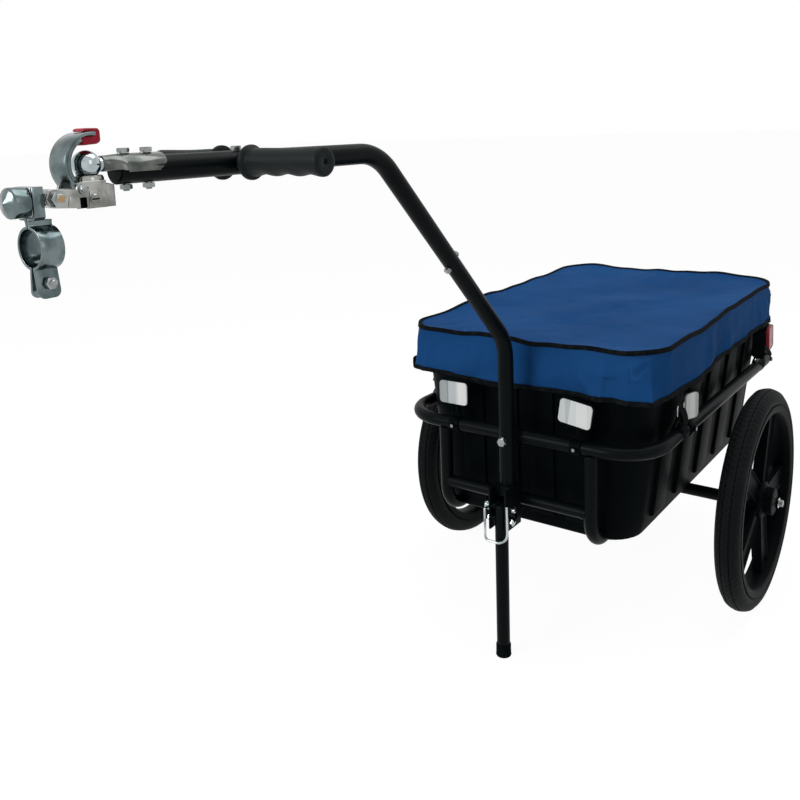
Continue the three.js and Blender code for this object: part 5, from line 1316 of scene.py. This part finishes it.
# %% Hitch
SHELL_RADIUS, NECK_RADIUS, TUBE_RADIUS = 15.3, 7.0, 12.8
hitch_end = front_on((0, -0.627, DRAW_Z))
hitch = bmesh.new()
arch = arc((0, 0), SHELL_RADIUS, 0, 180, 28) + arc((0, 0), TUBE_RADIUS, 180, 0, 28)
plate(hitch, arch, 45, hitch_end, 0.6)
for vert in hitch.verts:
    if vert.co.y > -0.64:
        vert.co.y -= 0.009 * max(0.0, 1 - (vert.co.z - DRAW_Z) / 0.0125) ** 2.5
for side, _ in SIDES:
    x, z = side * 0.01395, DRAW_Z - 0.0001
    bent_tube(hitch, [(x, -0.637, z), (x, -0.672, z)], 1.28, 0, 0, 14)
taper = []
for share in (step / 12 for step in range(13)):
    ease = share ** 2 * (3 - 2 * share)
    wide = SHELL_RADIUS + (NECK_RADIUS - SHELL_RADIUS) * ease
    ring = []
    for angle in (math.tau * step / 40 for step in range(40)):
        half_round = max(0.0, SHELL_RADIUS * math.sin(angle))
        full_round = NECK_RADIUS + NECK_RADIUS * math.sin(angle)
        ring.append((wide * math.cos(angle), half_round + (full_round - half_round) * ease))
    taper.append((ring, 44.5 + 19 * share))
bridged(hitch, taper, hitch_end)
turned(hitch, [(0, 13.5), (6, 13.5), (6.8, 14.2), (7.2, 15.5), (7.2, 20), (0, 20)], ball, Y, 40)
closed(hitch)
settle(hitch, "hitch_shell", zinc_dark, "hitch_saddle")
tow_ball = bmesh.new()
sphere = arc((0, 0), 12.5, -72, 61.3, 30)
turned(tow_ball, [(0, -12.1), (3, -12.1)] + sphere + [(6, 11.4), (6, 28.4), (0, 28.4)], ball, Y, 56)
settle(tow_ball, "tow_ball", chrome, "hitch_ball")
print("hitch made")

# %% [markdown]
# ## Coupling head, catch and grip
# Two steel cheeks are riveted to a block with a hollow for the ball. A bent strap closes over the
# ball on its pin, and a red moulded grip sits on the strap's end. The block's hollow is a row of
# circles bridged down into it, and the strap and the cheeks are outlines pulled to their width.

# %% Coupling head
def on_side(x, centre=ball):
    """A plate's place whose flat faces X, measured from a point."""
    return side_on((x, centre.y, centre.z))


cheek = [(8, -37), (8, -13.5), (-15, -13.5)] + arc((-15, -20), 6.5, 100, 180, 6)
cheek += arc((-42, -26), 8, 90, 270, 16)
cheek += [(-22, -35.6), (-19, -36), (-19, -27), (-12.5, -27), (-12.5, -37)]
swages = (
    [(7, -36), (7, -22), (-9.5, -22), (-11.5, -36)],
    [(-20, -35.2), (-20, -25), (-29, -25), (-31, -33.8)],
)
head = bmesh.new()
for x in (-0.015, 0.0124):
    plate(head, cheek, 2.6, on_side(x), 0.5, 3)
for swage in swages:
    for x in (0.0150, -0.0156):
        plate(head, swage, 0.6, on_side(x), 0.3)
width, length = 25.2, 27
levels = [(rounded(width, length, 3), -37), (rounded(width, length, 3), -18.5)]
levels += [(rounded(width - 0.6, length - 0.6, 3), -18)]
hollow = (
    (13.6, -16), (13.8, -13.5), (13.6, -11.2), (12.8, -9.6), (11.6, -9),
    (10.2, -8.9), (9.1, -9.3), (7.2, -10.8), (5, -11.9), (2.6, -12.6),
)
levels += [(arc((0, -5.5), radius, 0, 360 - 360 / 28, 27), height) for radius, height in hollow]
bridged(head, levels, Matrix.Translation(ball + 0.0055 * Y))
screw_at = ball + Vector((0, -0.0055, -0.0290))
turned(head, [
    (0, 0), (4.3, 0), (4.3, 1.4), (3.7, 1.9), (0, 2.1),
], screw_at + 0.0154 * X, X, 32)
settle(head, "coupling_block", zinc_grey, "coupling_head", body="coupling_head")
# The shadows in the screw's slot and inside the cheeks' notches are painted: thin dark plates stand where there
# is only shade
dark = bmesh.new()
plate(dark, rounded(7.4, 1.3, 0.4, 2), 0.12, on_side(0.0175, screw_at), 0)
for x in (0.0112, -0.0123):
    plate(dark, [(-20.5, -36.4), (-11, -36.4), (-11, -26.4), (-20.5, -26.4)], 1.1, on_side(x), 0.2)
settle(dark, "coupling_screw_slot", plastic_black, body="coupling_head", slot="zinc")
pin_at = ball + Vector((0, -0.015, -0.020))
rivet = bmesh.new()
for side, _ in SIDES:
    turned(rivet, [
        (0, 0), (4.6, 0), (4.6, 0.7), (3.9, 1), (3.3, 1.2), (3.1, 1.8), (2.2, 2.2), (0, 2.25),
    ], pin_at + side * 0.0153 * X, side * X, 32)
turned(rivet, [(0, -15.3), (3, -15.3), (3, 15.3), (0, 15.3)], pin_at, X, 24)
settle(rivet, "catch_rivet", zinc, "catch_pin", body="coupling_head")
print("coupling head made")

# %% Catch
catch = bmesh.new()
plate(catch, arc((0, 0), 28, 80, 228, 60) + arc((0, 0), 25, 228, 80, 60), 24, on_side(-0.012), 0.5, 3)
flange = arc((0, 0), 26.5, 114, 212, 40) + arc((0, 0), 22, 212, 114, 40)
for x in (-0.012, 0.0095):
    plate(catch, flange, 2.5, on_side(x), 0.6, 3)
eyelet = mirrored([(3, -12), (5.1, -12), (5.5, -11.6)])
turned(catch, eyelet + eyelet[:1], pin_at, X, 32)
settle(catch, "catch_hook", zinc_blue, "catch_strap", body="catch")
red_grip = bmesh.new()
grip_outline = [(-7, 16.5), (7.5, 17.5)] + arc((7.8, 21.6), 3.6, -80, 0, 5) + [(11.4, 27.6)]
grip_outline += arc((8.2, 27.9), 3.2, 0, 90, 5) + [(-1.6, 31.2), (-3.8, 30.7), (-5.0, 29.6)]
grip_outline += arc((0, 0), 28.35, 99, 80, 8) + arc((4.6, 26.3), 1.7, 60, -60, 4)
grip_outline += arc((0, 0), 24.65, 82, 106.5, 6)
plate(red_grip, grip_outline, 17, on_side(-0.0085), 1.2, 3)
settle(red_grip, "catch_red_grip", red_plastic, "catch_grip", body="catch")
print("catch made")

# %% [markdown]
# ## Swivel and seat post clamp
# The pivot's eye ends in a shank with a bullet-shaped cap, so the clamp can turn about it. The clamp is
# two bent steel strips that hug the seat post and are pulled together below by a bolt.

# %% Swivel
shank_at = pivot - 0.0015 * Z
fork = bmesh.new()
eye = mirrored([(4.2, -12.1), (7.4, -12.1), (8, -11.5)])
turned(fork, eye + eye[:1], pivot, X, 40)
turned(fork, [
    (0, 4), (8.5, 6), (8.8, 10), (9, 11), (9, 15.8), (8.5, 16.2), (6, 16.2), (6, 30.5), (0, 30.5),
], shank_at, -Y, 40)
settle(fork, "swivel_fork", zinc, "swivel_eye", body="swivel")
cap = bmesh.new()
turned(cap, [
    (6, 19.3), (12, 19.3), (12.8, 19.7), (13, 20.6), (13, 32.2), (12.7, 33.1), (11.8, 33.9),
    (6, 35.9), (2.6, 37.1), (1.2, 37.8), (0, 38),
], shank_at, -Y, 56)
settle(cap, "swivel_bullet", zinc_blue, "swivel_cap", body="swivel")
bracket = bmesh.new()
plate(bracket, [
    (-19, -12.5), (-9, -12.5), (-9, -10), (-16.5, -10), (-16.5, 10), (-9, 10), (-9, 12.5), (-19, 12.5),
], 20.4, on_side(-0.0102, shank_at), 0.7, 3)
settle(bracket, "swivel_channel", zinc, "swivel_bracket", body="clamp")
print("swivel made")

# %% Seat post clamp
# One half of the clamp seen from the front, with its bends rounded: across, and up from the ground
CLAMP_INSIDE = [(10.5, 842), (10.5, 819.2), (8.2, 816.75), (1.2, 816.75), (0.3, 815.6), (0.3, 809)]
CLAMP_INSIDE += arc((0, 791), 16, 86, -84, 36) + [(0.9, 773.2), (1.15, 772.5), (4.25, 748)]
CLAMP_OUTSIDE = [(6.75, 748), (3.65, 772.5), (4.4, 773.6)] + arc((0, 791), 18.5, -74, 81, 36)
CLAMP_OUTSIDE += [(2.8, 811), (3.4, 813.6), (4.6, 814.25), (10.4, 814.25), (13, 816.9), (13, 842)]
WALL_REAR, STRIP_REAR, NECK_TOP, STRIP_LOW = -0.756, -0.745, 0.8140, 0.7484
NEAR = 0.0001


def level_edge(edge):
    """Whether an edge of the clamp's lower end runs across, not from front to back."""
    first, second = edge.verts
    return max(first.co.z, second.co.z) < STRIP_LOW and abs(first.co.y - second.co.y) < NEAR


for side, name in SIDES:
    half = bmesh.new()
    outline = [(side * x, z) for x, z in CLAMP_INSIDE + CLAMP_OUTSIDE]
    plate(half, outline, 10, front_on((0, WALL_REAR, 0)), 0)
    geom = list(half.faces) + list(half.edges) + list(half.verts)
    bmesh.ops.bisect_plane(half, geom=geom, plane_co=(0, 0, NECK_TOP), plane_no=Z)
    below = [face for face in half.faces if abs(face.calc_center_median().y - WALL_REAR) < NEAR
             and max(vert.co.z for vert in face.verts) < NECK_TOP + NEAR]
    longer = bmesh.ops.extrude_face_region(half, geom=below)["geom"]
    bmesh.ops.translate(half, vec=(0, STRIP_REAR - WALL_REAR, 0), verts=verts_in(longer))
    bmesh.ops.recalc_face_normals(half, faces=half.faces)
    ends = [edge for edge in half.edges if level_edge(edge) and edge.calc_face_angle(0) > 1]
    round_off(half, ends, 0.0062, 7)
    bmesh.ops.recalc_face_normals(half, faces=half.faces)
    sharp = [edge for edge in half.edges if edge.calc_face_angle(0) > math.radians(60)]
    round_off(half, sharp, 0.0004, 2)
    settle(half, f"clamp_strip_{name}", zinc_blue, f"seat_clamp_{name}", body="clamp")
print("clamp made:", made_pieces[-2:])

# %% [markdown]
# ## Finishes on the solids that stay
# Three small rigid solids whose shape is right are kept as they are and only get a finish.

# %% Kept solids
KEPT_SOLIDS = {"drawbar_bracket": powder_black, "hub_bush_left": bronze, "hub_bush_right": bronze}
for node, finish in KEPT_SOLIDS.items():
    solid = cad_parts[node]
    solid.data.materials.clear()
    solid.data.materials.append(finish)
print("kept solids:", len(KEPT_SOLIDS))

# %% Count of pieces
print("pieces made:", len(made_pieces))
